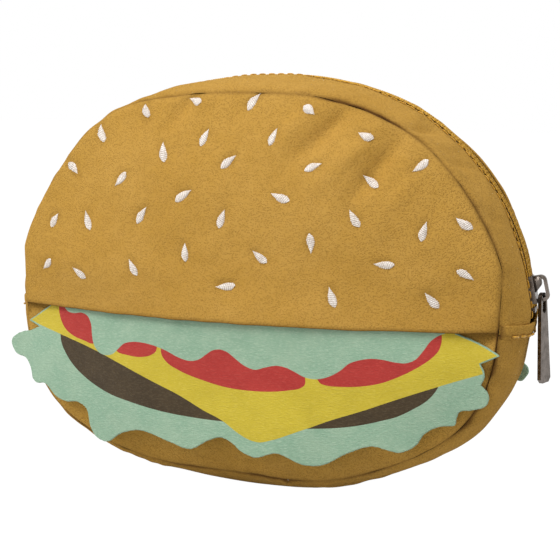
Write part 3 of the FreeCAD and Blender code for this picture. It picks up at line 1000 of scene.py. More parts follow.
@dataclass
class Faces:
    """One padded face: bun panel with its turned hem, lower panel, and the seeds on the bun."""
    form: PouchForm
    finishes: Finishes
    side: Side
    gap: float = 1.25
    lower_gap: float = 1.8
    fold: float = 0.95
    turned_under: float = 6.0
    lower_top: float = 84.0
    hem_half: float = 98.0
    hem_lip: float = 1.3
    bun_span: float = 88.0
    lower_span: float = 80.0
    seed_size: tuple[float, float, float] = (8.0, 3.6, 0.75)
    seed_sink: float = 0.55
    threads: int = 10
    folds: tuple[tuple[float, float, float, float, float, float], ...] = (
        (31.0, 149.0, 0.80, 17.0, 4.0, 3.0), (42.0, 142.0, 0.85, 14.0, 3.8, -1.7),
        (51.0, 135.0, 0.95, 14.0, 3.8, 2.7), (19.0, 152.0, 0.75, 14.0, 4.2, -1.4),
        (62.0, 128.0, 0.9, 12.0, 4.0, -1.0), (-27.0, 157.0, 0.85, 9.0, 2.8, 1.8),
        (-19.0, 160.0, 0.85, 8.0, 2.8, -0.9), (-36.0, 152.0, 0.95, 9.0, 3.4, -0.7),
        (-2.0, 158.0, 0.9, 9.0, 3.4, 0.8))
    lower_folds: tuple[tuple[float, float, float, float, float, float], ...] = (
        (-20.0, 22.0, 1.2, 10.0, 3.6, 1.3), (6.0, 18.0, 0.9, 9.0, 3.6, 1.1),
        (-8.0, 20.0, 1.3, 10.0, 3.6, -0.8), (28.0, 18.0, 1.2, 8.0, 3.6, 0.8),
        (-45.0, 26.0, 0.9, 9.0, 3.6, 1.0), (50.0, 24.0, 2.0, 9.0, 3.6, 1.0),
        (68.0, 32.0, 2.3, 9.0, 3.6, 0.9), (88.0, 62.0, 1.9, 9.0, 3.0, 0.9))

    def __post_init__(self) -> None:
        """Chooses this face's unevenness."""
        offset = 0 if self.side is Side.FRONT else 40
        self.swell = Ripples(21 + offset, 38.0, 120.0, 9)
        self.dimples = Ripples(22 + offset, 9.0, 24.0, 14)
        self.seed_seed = 3.0 + 57.0 * offset / 40

    # bun panel ------------------------------------------------------------------------------
    def hem_out(self, x: Array) -> Array:
        """How far in front of the mid-plane the hem's outer face is."""
        bun = self.form.bun_bulge * (1 - np.clip(np.abs(x) / self.hem_half, 0, 1) ** 2)
        lip = self.hem_lip * step(0.0, 14.0, self.hem_half - np.abs(x))
        return self.form.half_depth + bun + lip

    def ground(self, x: Array, z: Array, bulge: float) -> tuple[Array, Array, Array, Array]:
        """The domed cloth before its hem, in front of the mid-plane.

        Args:
            x: places across.
            z: levels.
            bulge: height of the dome.

        Returns:
            Distance in front of the mid-plane, distance from the seam, angle round the hem's
            middle and the share of the way out.
        """
        share = np.clip(self.form.share(x, z), 0.0, 1.0)
        angle = np.arctan2(z - self.form.hem, x)
        radius = self.form.reach(angle, self.form.hem)
        away = (1 - share) * radius * 0.9
        out = self.form.half_depth + bulge * (1 - share ** 2)
        open_cloth = 1 - np.exp(-(away / 16.0) ** 2)
        out = out + 0.55 * self.swell.at(x, z) * open_cloth
        out = out + 0.14 * self.dimples.at(x, z) * open_cloth
        out = out + 0.95 * self.form.gathers(angle * 88.0, away, self.seed_seed)
        out = out - self.form.tucked(away, angle) * 0.6
        return out, away, angle, share

    def sunk(self, x: Array, z: Array) -> Array:
        """How far the tight stitches pull the bun in round each seed.

        Args:
            x: places across.
            z: levels.

        Returns:
            The depth.
        """
        depth = np.zeros(np.shape(x))
        length, width, _ = self.seed_size
        for across, up, tip in SEEDS:
            turn = math.radians(tip)
            u = (x - across) * math.cos(turn) + (z - up) * math.sin(turn)
            v = (z - up) * math.cos(turn) - (x - across) * math.sin(turn)
            ring = np.sqrt((u / (length / 2 + 0.6)) ** 2 + (v / (width / 2 + 0.6)) ** 2)
            depth = np.maximum(depth, np.exp(-np.clip(ring, 0, 4) ** 5 * 0.8))
        return depth * self.seed_sink

    def overhang(self, angle: Array, away: Array) -> Array:
        """How far the padded bun swells out over its seam, most of all at its left."""
        return (0.7 + 1.5 * step(1.65, 2.1, angle)) * np.exp(-((away - 4.2) / 3.0) ** 2)

    def lower_overhang(self, angle: Array, away: Array) -> Array:
        """How far the lower panel swells out over its seam, most of all at its left."""
        left = step(-2.3, -2.9, angle) + step(2.6, 3.0, angle)
        return (0.3 + 1.4 * left) * np.exp(-((away - 3.6) / 2.6) ** 2)

    def bun_out(self, x: Array, z: Array) -> tuple[Array, Array, Array]:
        """The bun's front, its hem raised over the felt.

        Args:
            x: places across.
            z: levels.

        Returns:
            Distance in front of the mid-plane, distance from the seam and angle.
        """
        out, away, angle, share = self.ground(x, z, self.form.bun_bulge)
        full = (1.0 + 2.6 * step(1.55, 2.2, angle)) * step(0.0, 20.0, z - self.form.hem)
        out = out + full * 4 * share ** 2 * (1 - share ** 2)
        out = out - folded(self.folds, x, z)
        low = z - self.form.hem
        lip = 1 - step(0.0, 16.0, low)
        out = out + self.hem_lip * lip * step(0.5, 12.0, away)
        return out - self.sunk(x, z), away, angle

    def bun_panel(self) -> None:
        """Builds the bun panel with its hem folded under."""
        form, radius = self.form, self.fold
        start = form.hem + radius
        under = math.pi * radius + self.turned_under
        loop = form.seam_part(True, start + 0.3)
        half = loop[0, 0] - 0.9
        edge = np.concatenate([
            [(half, start)], loop, [(-half, start)],
            smooth_line([(-half, start), (-half, start - under)], self.gap)[1:],
            smooth_line([(-half, start - under), (half, start - under)], self.gap)[1:],
            smooth_line([(half, start - under), (half, start)], self.gap)[1:-1]])
        marks = [(smooth_line([(-half + 0.8, start + shift), (half - 0.8, start + shift)],
                              self.gap), False)
                 for shift in (0.0, -radius * 0.5, -radius, -radius * 1.57, -radius * 2.2,
                               -radius * 2.8, -radius * math.pi, 0.8)]
        flat, triangles = cut_flat(edge, marks + form.seam_marks(True, start + 1.6), self.gap)
        x, low = flat[:, 0], flat[:, 1] - start
        z = start + np.maximum(low, 0.0)
        out, away, angle = self.bun_out(x, z)
        turn = np.clip(-low / radius, 0.0, math.pi)
        back = np.maximum(-low - math.pi * radius, 0.0)
        level = z - radius * np.sin(turn) + back
        level += 0.10 * self.dimples.at(x * 0.8, 7.0) * (1 - step(0.0, 10.0, low)) * (low > -4)
        out = out - radius * (1 - np.cos(turn))
        inward = 1 - (form.tucked(away, angle) - self.overhang(angle, away)) / self.bun_span
        points = np.stack([x * inward, -out, form.hem + (level - form.hem) * inward], axis=1)
        # Painted shade: dark in the seam groove, on the hem as it rolls under, on the turned-under
        # part and round each seed.
        shade = form.painted_seam_shade(angle, away) + 0.25 * step(0.9, 0.0, low)
        shade = np.where(low < -radius * 0.8, 0.75, shade)
        shade = shade + 0.16 * self.sunk(x, z) / self.seed_sink
        name = self.side.value
        panel = make_mesh(f"{name}_bun", form.placed(self.side, points), triangles,
                          [self.finishes.suede], shade=shade)
        dress(panel, [f"{name}_bun_panel", f"{name}_bun_padding", f"{name}_hem_fold"])

    # lower panel ----------------------------------------------------------------------------
    def lower_panel(self) -> None:
        """Builds the lower panel, pressed in at the top where the felt is sewn over it."""
        form = self.form
        loop = form.seam_part(False, self.lower_top)
        top = smooth_line([tuple(loop[-1]), tuple(loop[0])], self.lower_gap)[1:-1]
        flat, triangles = cut_flat(np.concatenate([loop, top]),
                                   form.seam_marks(False, self.lower_top - 2.0), self.lower_gap)
        x, z = flat[:, 0], flat[:, 1]
        out, away, angle, _ = self.ground(x, z, form.lower_bulge)
        out = out - folded(self.lower_folds, x, z)
        hem = self.hem_out(x) - 2 * self.fold - 2.0
        press = np.maximum(out - hem, 0.0)
        out = out - press * np.exp(-np.maximum(form.hem - z, 0.0) / 8.0) * step(0.0, 6.0, away)
        turned_in = form.tucked(away, angle) - self.lower_overhang(angle, away)
        inward = 1 - turned_in / self.lower_span
        points = np.stack([x * inward, -out, form.hem + (z - form.hem) * inward], axis=1)
        # Painted shade: dark in the seam groove and along the top, under the hem and the felt.
        shade = form.painted_seam_shade(angle, away) + 0.35 * step(form.hem - 6.0, form.hem, z)
        name = self.side.value
        panel = make_mesh(f"{name}_lower", form.placed(self.side, points), triangles,
                          [self.finishes.suede], shade=shade)
        dress(panel, [f"{name}_lower_panel", f"{name}_lower_padding"])

    # seeds ----------------------------------------------------------------------------------
    def seeds(self) -> None:
        """Builds the satin-stitched seeds: rows of threads across a drop shape."""
        length, width, height = self.seed_size
        rows, columns = self.threads * 4 + 1, 9
        along = np.linspace(-1.0, 1.0, rows)[:, None]
        across = np.linspace(-1.0, 1.0, columns)[None, :]
        part = (along + 1) / 2
        base = np.sqrt(np.clip(1 - ((part - 0.36) / 0.36) ** 2, 0, 1))
        half = np.where(part < 0.36, base, 1 - np.clip((part - 0.36) / 0.64, 0, 1) ** 1.5)
        ridge = np.abs(np.sin(part * self.threads * math.pi))
        crown = np.sqrt(np.clip(1 - across ** 2, 0, 1)) * np.clip(half, 0, 1) ** 0.5
        lift = (height * crown * (0.62 + 0.38 * ridge) - 0.12).ravel()
        # Painted shade between the thread ridges and at the seed's sides.
        shade = (0.85 * (1 - ridge) ** 1.5 + 0.3 * np.abs(across) ** 8).ravel()
        points, faces = [], []
        chance = np.random.default_rng(5)
        for x, z, tip in SEEDS:
            size = chance.uniform(0.86, 0.98)
            rag = 1 + 0.07 * chance.uniform(-1, 1, (self.threads + 1))
            edge = half * rag[np.minimum((np.arange(rows) // 4), self.threads)][:, None]
            u = (along + 0.09 * across) * length / 2 * size * SHORT_SEEDS.get((x, z), 1.0)
            v = across * edge * width / 2 * size * (0.90 + 0.10 * ridge)
            turn = math.radians(tip)
            at_x = x + u * math.cos(turn) - v * math.sin(turn)
            at_z = z + u * math.sin(turn) + v * math.cos(turn)
            out, away, angle = self.bun_out(at_x.ravel(), at_z.ravel())
            swell = 1 + self.overhang(angle, away) / self.bun_span
            place = np.stack([at_x.ravel() * swell, -(out + lift + 0.1),
                              self.form.hem + (at_z.ravel() - self.form.hem) * swell], axis=1)
            faces += [face[::-1] for face in
                      grid_faces(rows, columns, start=len(points) * rows * columns)]
            points.append(place)
        name = self.side.value
        piece = make_mesh(f"{name}_seed_stitches",
                          self.form.placed(self.side, np.concatenate(points)), faces,
                          [self.finishes.seed], shade=np.tile(shade, len(SEEDS)))
        dress(piece, [f"{name}_seeds"])

    def build(self) -> None:
        """Builds the face."""
        self.bun_panel()
        self.lower_panel()
        self.seeds()


# ---- edge band ----------------------------------------------------------------------------------
@dataclass
class EdgeBand:
    """The wide band between the faces: bottom gusset, the two strips beside the zip, end tabs."""
    form: PouchForm
    finishes: Finishes
    strip_edge: float = 5.0
    stitch_row: float = 7.6
    lip_row: float = 4.6
    tab_low: float = 4.6
    tab_high: float = 7.6
    tab_thick: float = 1.2
    tab_row: float = 5.15
    tab_sag: float = 0.9
    roll: float = 0.7
    creases: tuple[tuple[float, float, float, float, float], ...] = (
        (53.0, -20.0, 16.0, 2.6, 1.5), (57.0, -15.0, 12.0, 2.4, -0.9),
        (43.0, -21.0, 18.0, 2.6, 1.4), (47.5, -16.0, 14.0, 2.6, -0.9),
        (30.0, -21.0, 14.0, 2.4, 0.9), (70.0, -19.0, 14.0, 2.4, 0.8),
        (118.0, -20.0, 14.0, 2.2, 0.8), (131.0, -18.0, 16.0, 2.6, 0.7))

    def __post_init__(self) -> None:
        """Chooses the band's unevenness, and each strip's shift of it and stand beside the zip."""
        self.shift = {Side.FRONT: 0.0, Side.BACK: 73.0}
        self.lip = {Side.FRONT: -0.75, Side.BACK: 0.55}
        self.swell = Ripples(31, 22.0, 90.0, 12)
        self.small = Ripples(32, 7.0, 20.0, 14)

    def uneven(self, angle: Array, y: Array, seed: float) -> Array:
        """How far the cloth stands out of the plain band.

        Args:
            angle: directions in radians.
            y: places from front to back.
            seed: shifts the pattern.

        Returns:
            The distance outward.
        """
        along = angle * 105.0
        away = self.form.half_depth - np.abs(y)
        free = step(0.0, 8.0, away) * step(0.0, 5.0, np.abs(y) - 4.0)
        out = 0.45 * self.swell.at(along + seed, y) * step(0.0, 12.0, away)
        out = out + 0.12 * self.small.at(along + seed, y * 1.3) * step(5.0, 12.0, np.abs(y))
        out = out + 0.95 * self.form.gathers(along, away, seed)
        flip = -1.0 if seed == self.shift[Side.BACK] else 1.0
        for where, place, length, width, depth in self.creases:
            s = (np.degrees(angle) - where) * 1.9
            t = flip * y - place
            lean = s + 0.45 * t
            out = out - depth * free * np.exp(-(lean / width) ** 2 - (t / (length * 0.5)) ** 2)
        return out

    def gusset(self) -> None:
        """Builds the bottom gusset, flat where the pouch stands."""
        form, depth = self.form, self.form.half_depth
        lean = np.linspace(-1.0, 1.0, 53)
        y = depth * np.sin(lean * math.pi / 2) * 0.35 + depth * lean * 0.65
        angle = np.radians(np.linspace(-180.0 - self.tab_high + 1.4, self.tab_high - 1.4, 300))
        angle, y = np.meshgrid(angle, y, indexing="ij")
        calm = step(0.5, 9.0, form.band(angle, y)[..., 2])
        points = form.band(angle, y, self.uneven(angle, y, 0.0) * calm)
        # Painted shade in the seam grooves.
        shade = form.painted_seam_shade(angle, depth - np.abs(y))
        piece = make_mesh("gusset", form.placed(Side.FRONT, points), grid_faces(*angle.shape),
                          [self.finishes.suede], shade=shade.ravel())
        dress(piece, ["bottom_gusset"])

    def strip(self, side: Side) -> None:
        """Builds one strip beside the zip, its inner edge turned down.

        Args:
            side: the face it is beside.
        """
        depth, seed, front = self.form.half_depth, self.shift[side], side is Side.FRONT
        edge = self.strip_edge + self.roll
        lean = np.linspace(0.0, 1.0, 30)
        flat = -depth + (depth - edge) * (lean - 0.10 * np.sin(lean * 2 * math.pi) / 2)
        turn = np.linspace(0.0, math.pi, 9)[1:]
        y = np.concatenate([flat, -edge + self.roll * np.sin(turn), [-edge - 3.0]])
        drop = np.concatenate([0 * flat, self.roll * (1 - np.cos(turn)), [2.0 * self.roll]])
        angle = np.radians(np.linspace(self.tab_high - 1.2, 180.0 - self.tab_high + 1.2, 290))
        grid, place = np.meshgrid(angle, y, indexing="ij")
        out = self.uneven(grid, np.minimum(place, -edge), seed)
        out = out + 0.05 * self.small.at(grid * 150.0 + seed) * step(9.0, 6.0, -place)
        lip = self.lip[side] * (1 + 1.7 * step(27.0, 17.0, np.degrees(grid)) * front)
        out = out + lip * np.exp(-((np.abs(place) - self.lip_row) / 2.0) ** 2)
        stitch_line = np.exp(-((np.abs(place) - self.stitch_row) / 0.8) ** 2)
        out = out - 0.22 * stitch_line * (drop == 0)
        points = self.form.band(grid, place, out - drop)
        turned = step(0.4, 1.8, np.broadcast_to(drop, grid.shape))
        # Painted shade: in the seam groove, in the stitch row's groove and on the turned-down inner
        # edge, darker on the back strip.
        shade = self.form.painted_seam_shade(grid, depth - np.abs(place)) + 0.30 * stitch_line
        shade = shade + (0.3 if front else 0.7) * turned
        piece = make_mesh(f"{side.value}_zip_strip", self.form.placed(side, points),
                          grid_faces(*grid.shape), [self.finishes.suede], shade=shade.ravel())
        dress(piece, [f"zip_strip_{side.value}"])

    def sag(self, y: Array, right: bool) -> Array:
        """How far round an end tab is moved at a place across it: it hangs in the middle."""
        share = 2 * (y / self.form.half_depth) ** 2 - 1
        return math.radians(self.tab_sag) * share * (1 if right else -1)

    def tab(self, right: bool) -> None:
        """Builds the folded tab over the zip's right end, at +X, or its left end.

        Args:
            right: whether it is the right end's.
        """
        depth = self.form.half_depth
        middle, half = (self.tab_low + self.tab_high) / 2, (self.tab_high - self.tab_low) / 2
        turn = np.linspace(-math.pi / 2, math.pi / 2, 25)
        rise = np.sign(np.cos(turn)) * np.abs(np.cos(turn)) ** 0.30
        lean = middle + half * np.sin(turn)
        y = depth * np.linspace(-1.0, 1.0, 61)
        above, place = np.meshgrid(lean, y, indexing="ij")
        rise = rise[:, None]
        away = depth - np.abs(place)
        stitch_line = np.exp(-((above - self.tab_row) / 0.36) ** 2)
        grid = np.radians(above if right else 180.0 - above) + self.sag(place, right)
        out = (self.tab_thick + 0.25) * rise - 0.25
        out = out + 0.10 * self.small.at(place * 1.4, grid * 60.0) - 0.34 * stitch_line * rise
        out = out + 0.3 * self.form.gathers(place * 0 + grid * 105, away, 9.0)
        out = out - 0.35 * np.exp(-(away / 2.0) ** 2)
        points = self.form.band(grid, place, out)
        # Painted shade: at the tab's ends by the seams, in its stitch row's groove and on its
        # rolled edges.
        shade = 0.75 * np.exp(-(away / 1.2) ** 2) + 0.30 * stitch_line
        shade = shade + 0.45 * (1 - rise) ** 2
        faces = grid_faces(*grid.shape)
        if not right:
            faces = [face[::-1] for face in faces]
        name = "right" if right else "left"
        piece = make_mesh(f"{name}_end_tab", points.reshape(-1, 3), faces, [self.finishes.suede],
                          shade=shade.ravel())
        dress(piece, [f"end_tab_{name}"])

    def build(self) -> None:
        """Builds the band's pieces."""
        self.gusset()
        for side in Side:
            self.strip(side)
        for right in (True, False):
            self.tab(right)


# ---- zip and thread -----------------------------------------------------------------------------
@dataclass
class ZipChain:
    """Woven tapes with coils sewn on by chain stitches, and the moulded stops."""
    form: PouchForm
    finishes: Finishes
    coil_top: float = 110.35
    coil_height: float = 1.7
    coil_near: float = -0.4
    coil_far: float = 2.6
    pitch: float = 1.3
    tape_half: float = 9.0
    tape: float = 0.5
    first: float = 9.7
    wire: float = 0.36
    chain_rows: tuple[float, ...] = (1.6, 2.6, 3.7)
    chain_pitch: float = 1.9
    chain_thick: float = 0.27

    def at(self, radius: Array, angle: Array, y: Array) -> Array:
        """Points at a distance and direction from the zip's centre.

        Args:
            radius: distances from the centre.
            angle: directions in radians.
            y: places from front to back.

        Returns:
            The points.
        """
        radius, angle, y = np.broadcast_arrays(radius, angle, y)
        return np.stack([radius * np.cos(angle), y,
                         self.form.zip_centre + radius * np.sin(angle)], axis=-1)

    def run(self) -> tuple[float, float]:
        """The coils' two ends, in radians."""
        return math.radians(self.first), math.radians(180.0 - self.first)

    def tapes(self, side: Side) -> None:
        """Builds one tape, sloping down with the strip that covers it.

        Args:
            side: the side it is on.
        """
        top = self.coil_top - self.coil_height
        inward = np.linspace(self.tape_half, 0.6, 15)
        y = -np.concatenate([inward, inward[::-1]])
        drop = np.concatenate([np.zeros(15), np.full(15, self.tape)]) + 0.012 * np.abs(y) ** 2
        angle = np.radians(np.linspace(8.2, 171.8, 240))
        grid, place = np.meshgrid(angle, y, indexing="ij")
        points = self.at(top - drop[None, :] + 0 * grid, grid, place)
        piece = make_mesh(f"{side.value}_zip_tape", self.form.placed(side, points),
                          grid_faces(*grid.shape, round_columns=True), [self.finishes.tape])
        dress(piece, [f"zip_tape_{side.value}"])

    def coils(self, side: Side) -> None:
        """Builds one coil as the long wound loop that it is.

        Args:
            side: the side it is on.
        """
        start, end = self.run()
        loops = int((end - start) * self.coil_top / self.pitch)
        turn = np.arange(loops * 12 + 1) / 12 * 2 * math.pi
        angle = start + (end - start) * (turn / (2 * math.pi)) / loops
        if side is Side.BACK:
            angle = angle + (end - start) / loops / 2
        half = (self.coil_far - self.coil_near) / 2 - self.wire
        y = -(self.coil_near + self.coil_far) / 2 + half * np.cos(turn)
        rise = self.coil_height / 2
        radius = self.coil_top - rise + (rise - self.wire) * np.sin(turn)
        points, faces = tubes([self.at(radius, angle, y)], [outward_at(angle)], self.wire)
        piece = make_mesh(f"{side.value}_zip_coil", self.form.placed(side, points), faces,
                          [self.finishes.coil])
        dress(piece, [f"zip_coil_{side.value}"])

    def chain(self, side: Side) -> None:
        """Builds the rows of chain stitches that hold a coil on its tape.

        Args:
            side: the coil's side.
        """
        start, end = self.run()
        loops = int((end - start) * self.coil_top / self.chain_pitch)
        paths, ups = [], []
        for number, row in enumerate(self.chain_rows):
            phase = np.arange(loops * 8 + 1) / 8 * 2 * math.pi + number
            angle = start + (end - start) * np.linspace(0, 1, len(phase))
            y = -row + 0.17 * np.sin(phase)
            radius = self.coil_top + 0.14 - 0.24 * number ** 2 + 0.08 * np.cos(2 * phase)
            paths.append(self.at(radius, angle, y))
            ups.append(outward_at(angle))
        points, faces = tubes(paths, ups, self.chain_thick)
        piece = make_mesh(f"{side.value}_chain_stitches", self.form.placed(side, points), faces,
                          [self.finishes.chain])
        dress(piece)

    def build(self) -> None:
        """Builds the zip and dresses its stops."""
        for side in Side:
            self.tapes(side)
            self.coils(side)
            self.chain(side)
        for name in ("closed_end_stops", "open_end_stop"):
            finish_node(name, self.finishes.metal, 0.12)


@dataclass
class Topstitching:
    """Rows of single stitches along the zip and across the end tabs."""
    form: PouchForm
    band: EdgeBand
    finishes: Finishes
    length: float = 3.0
    pitch: float = 4.0
    radius: float = 0.34
    tab_pitch: float = 6.4
    points: int = 9

    def arch(self) -> tuple[Array, Array]:
        """Places along one stitch and its height at each, its ends down in the cloth."""
        along = np.linspace(-0.5, 0.5, self.points)
        return along * self.length, 0.34 * np.sqrt(np.clip(1 - (2 * along) ** 2, 0, 1)) - 0.38

    def strip_row(self, side: Side) -> None:
        """Builds the row beside the zip.

        Args:
            side: the side it is on.
        """
        start, end = self.band.tab_high + 1.0, 180.0 - self.band.tab_high - 1.0
        count = int(math.radians(end - start) * self.form.zip_radius / self.pitch)
        lift = 0.20 if side is Side.FRONT else 0.08
        along, height = self.arch()
        paths, ups = [], []
        for i in range(count + 1):
            angle = math.radians(start + (end - start) * i / count) + along / 110.0
            y = np.full(self.points, -self.band.stitch_row) + 0.10 * math.sin(i * 2.3)
            out = self.band.uneven(angle, y, self.band.shift[side])
            paths.append(self.form.band(angle, y, out + height + lift))
            ups.append(outward_at(angle))
        points, faces = tubes(paths, ups, self.radius * 0.75)
        piece = make_mesh(f"{side.value}_strip_stitches", self.form.placed(side, points), faces,
                          [self.finishes.thread])
        dress(piece, [f"strip_stitching_{side.value}"])

    def tab_stitches(self, right: bool) -> None:
        """Builds the row across the right end tab or the left one.

        Args:
            right: whether it is the right tab's.
        """
        count = int((2 * self.form.half_depth - self.tab_pitch) / self.tab_pitch)
        turn = math.radians(self.band.tab_row if right else 180.0 - self.band.tab_row)
        along, height = self.arch()
        paths, ups = [], []
        for i in range(count):
            y = (i - (count - 1) / 2) * self.tab_pitch + along * 1.5
            angle = turn + self.band.sag(y, right) + 0.0012 * math.sin(i * 1.9)
            paths.append(self.form.band(angle, y, self.band.tab_thick + height + 0.46))
            ups.append(outward_at(angle))
        points, faces = tubes(paths, ups, self.radius * 1.4)
        name = "right" if right else "left"
        piece = make_mesh(f"{name}_tab_stitches", points, faces, [self.finishes.thread])
        dress(piece, [f"tab_stitching_{name}"])

    def build(self) -> None:
        """Builds every row."""
        for side in Side:
            self.strip_row(side)
        for right in (True, False):
            self.tab_stitches(right)


# ---- felt filling -------------------------------------------------------------------------------
class Print(Enum):
    """The colours printed on the felt, by their place in its list of finishes."""
    GREEN = 0
    YELLOW = 1
    RED = 2
    BROWN = 3


@dataclass
class FillingFelt:
    """One printed felt sheet that hangs from under the hem."""
    form: PouchForm
    finishes: Finishes
    face: Faces
    side: Side
    gap: float = 1.5
    line_gap: float = 0.9
    felt: float = 1.2
    stand_off: float = 1.0
    bow: float = 15.4
    top: float = 74.4
    sewn: float = 79.0
    rim: float = 0.3
    allowance_lean: float = 1.5
    loose_lobe: tuple[float, float, float] = (3.2, -6.0, -2.5)
    cut: tuple[tuple[tuple[float, float], ...], ...] = (
        ((-87.5, 74.4), (-98.5, 67)), ((-98.5, 67), (-92, 65)), ((-92, 65), (-98, 62.5)),
        ((-98, 62.5), (-102.5, 61.5), (-108, 57), (-105.5, 52.5), (-99.5, 51), (-97, 48),
         (-95.5, 43)),
        ((-95.5, 43), (-93.5, 41.5), (-89.5, 42), (-82, 36.5), (-78, 35.5), (-72.5, 36),
         (-68, 34), (-65.5, 26), (-63, 22.5), (-58.5, 21), (-51, 25.5), (-43, 28), (-28, 25),
         (-19.5, 23), (-11, 27.5), (-6.5, 29), (-2, 27.5), (3, 24), (8, 22.5), (16.5, 25),
         (28, 21), (33, 21), (45, 27), (52.5, 30), (66, 28.5), (70, 31), (72.5, 35), (77, 38),
         (84, 39)),
        ((84, 39), (85.5, 44.5), (91, 45.5), (95.5, 47.5), (96, 51), (93, 55)),
        ((93, 55), (94.2, 58.8), (92.5, 63.3)), ((92.5, 63.3), (99.3, 66.3)),
        ((99.3, 66.3), (92, 70.5), (83, 74.4)))
    cheese: tuple[tuple[float, float], ...] = (
        (-104, 69.5), (-97.1, 67.2), (-81.3, 63.4), (-64.6, 59), (-52.8, 55), (-35.7, 48.6),
        (-24.3, 44.2), (-13.7, 39.0), (-5.4, 35.4), (0.9, 31.4), (5.6, 29.3), (9.8, 28.6),
        (14.9, 29.9), (24, 33.5), (29.4, 35.7), (37.3, 39), (49, 43.3), (63, 48.8),
        (77.7, 54.1), (85.8, 56.9), (93.9, 59.5), (103, 62.6))
    patty: tuple[tuple[float, float], ...] = (
        (-81.3, 66), (-80.1, 59.4), (-77.4, 54.9), (-73.5, 50.6), (-69, 47.3), (-62.1, 43.7),
        (-54.6, 41.1), (-47.3, 39.6), (-38.5, 38), (-29.9, 36.8), (-14.9, 35.6), (-5.4, 35.3),
        (10, 35.0), (29.3, 35.5), (37.9, 36.1), (43.8, 36.9), (51.3, 38.5), (56.6, 40),
        (63.2, 42.1), (69.1, 45.3), (73, 47.9), (75.5, 50.4), (77.7, 53.9), (79, 58))
    leaf: tuple[tuple[float, float], ...] = (
        (-83, 78), (-80.7, 75.4), (-78, 73), (-74.8, 72.5), (-70.9, 73.1), (-67.7, 72.1),
        (-65.8, 69.4), (-64.9, 64.8), (-64, 61.2), (-61.4, 58), (-57.7, 57.1), (-54.7, 57.9),
        (-52.3, 60), (-49.3, 62.7), (-45.1, 63.8), (-41.6, 63.9), (-34.1, 62.8), (-30.1, 61.6),
        (-24.4, 59.3), (-19.5, 58.4), (-15.9, 59.3), (-13, 61.4), (-10.1, 63.4), (-7, 64),
        (-4.4, 63.4), (-0.5, 60.8), (3.3, 58.3), (7.5, 57.1), (11.7, 58.3), (16.2, 59.3),
        (19.8, 58.8), (23.5, 57.3), (27.1, 55.6), (30.3, 55), (33.8, 55.3), (38.2, 57),
        (41.2, 59), (44.1, 61.6), (48.8, 63.4), (53, 64), (56.7, 63.8), (62, 62.9),
        (65.6, 62.8), (68.7, 64.1), (71.7, 67.7), (74.1, 71.3), (76.1, 73), (80, 75), (82, 78))
    tomatoes: tuple[tuple[tuple[float, float], ...], ...] = (
        ((-82.8, 79), (-82.7, 73.1), (-81.3, 69.5), (-78.7, 66), (-74.1, 63.3), (-69, 62),
         (-64, 61.2), (-62, 66), (-66, 78)),
        ((-54, 63), (-52.8, 59.5), (-47.4, 58.2), (-41.5, 58), (-36.9, 59.2), (-34.6, 61),
         (-34.2, 62.8), (-36, 68), (-50, 68)),
        ((-32.6, 62.6), (-32, 59.6), (-29.5, 56.8), (-24.4, 54.2), (-13.8, 51), (-4.2, 49.1),
         (5.3, 48.6), (14.6, 49), (21.4, 50), (26.3, 51.4), (27.4, 52.3), (27.5, 55.8),
         (20, 66), (-20, 68)),
        ((32.1, 55.4), (33.4, 53.6), (36.5, 52.7), (41.4, 52.6), (48.7, 53.1), (57, 54.9),
         (62.1, 57), (67.3, 59.7), (72.3, 62.9), (75.3, 65.4), (77.3, 67.9), (78.1, 70.6),
         (77.7, 75), (60, 72), (40, 66)))

    def __post_init__(self) -> None:
        """Chooses this sheet's waves."""
        self.waves = Ripples(41 if self.side is Side.FRONT else 44, 26.0, 70.0, 8)

    def outline(self) -> Array:
        """The cut edge, counter-clockwise, with the sewn allowance under the hem.

        Returns:
            Flat points, without a repeated end.
        """
        last, first = self.cut[-1][-1], self.cut[0][0]
        lean = self.allowance_lean
        corners = (last, (last[0] - lean, self.sewn), (first[0] + lean, self.sewn), first)
        runs = [smooth_line(run, self.line_gap)[:-1] for run in self.cut]
        runs += [smooth_line(pair, self.gap)[:-1] for pair in zip(corners, corners[1:])]
        return np.concatenate(runs)

    def colour_of(self, middles: Array, green_rim: Array) -> Array:
        """The print that each small piece of the sheet carries.

        Args:
            middles: their places, flat.
            green_rim: whether they lie on the unprinted rim.

        Returns:
            The numbers of the prints.
        """
        def under(line: Sequence[tuple[float, float]]) -> Array:
            """The area from a line up to the sewn edge."""
            run = smooth_line(line, self.line_gap)
            return within(middles, np.concatenate([run, [(run[-1, 0], 99), (run[0, 0], 99)]]))
        colour = np.full(len(middles), Print.GREEN.value)
        colour[under(self.patty)] = Print.BROWN.value
        colour[under(self.cheese)] = Print.YELLOW.value
        for slice_line in self.tomatoes:
            loop = smooth_line([*slice_line, slice_line[0]], self.line_gap)
            colour[within(middles, loop)] = Print.RED.value
        colour[under(self.leaf)] = Print.GREEN.value
        colour[green_rim] = Print.GREEN.value
        return colour

    def out(self, x: Array, z: Array) -> Array:
        """How far in front of the mid-plane the sheet's outer face is.

        Args:
            x: places across.
            z: levels.

        Returns:
            The distances.
        """
        plan = (self.form.half_depth + self.stand_off + self.felt
                + self.bow * (1 - (x / self.form.half_width) ** 2))
        below = np.maximum(self.top - z, 0.0)
        tucked = self.face.hem_out(x) - 2 * self.face.fold - 0.25
        hold = np.exp(-(below / 9.0) ** 1.3)
        hang = plan + 0.9 * self.waves.at(x, z * 0.5) * step(6.0, 46.0, below)
        hang = hang - 0.9 * step(88.0, 106.0, np.abs(x)) * step(8.0, 20.0, below)
        return hang * (1 - hold) + np.minimum(plan, tucked) * hold

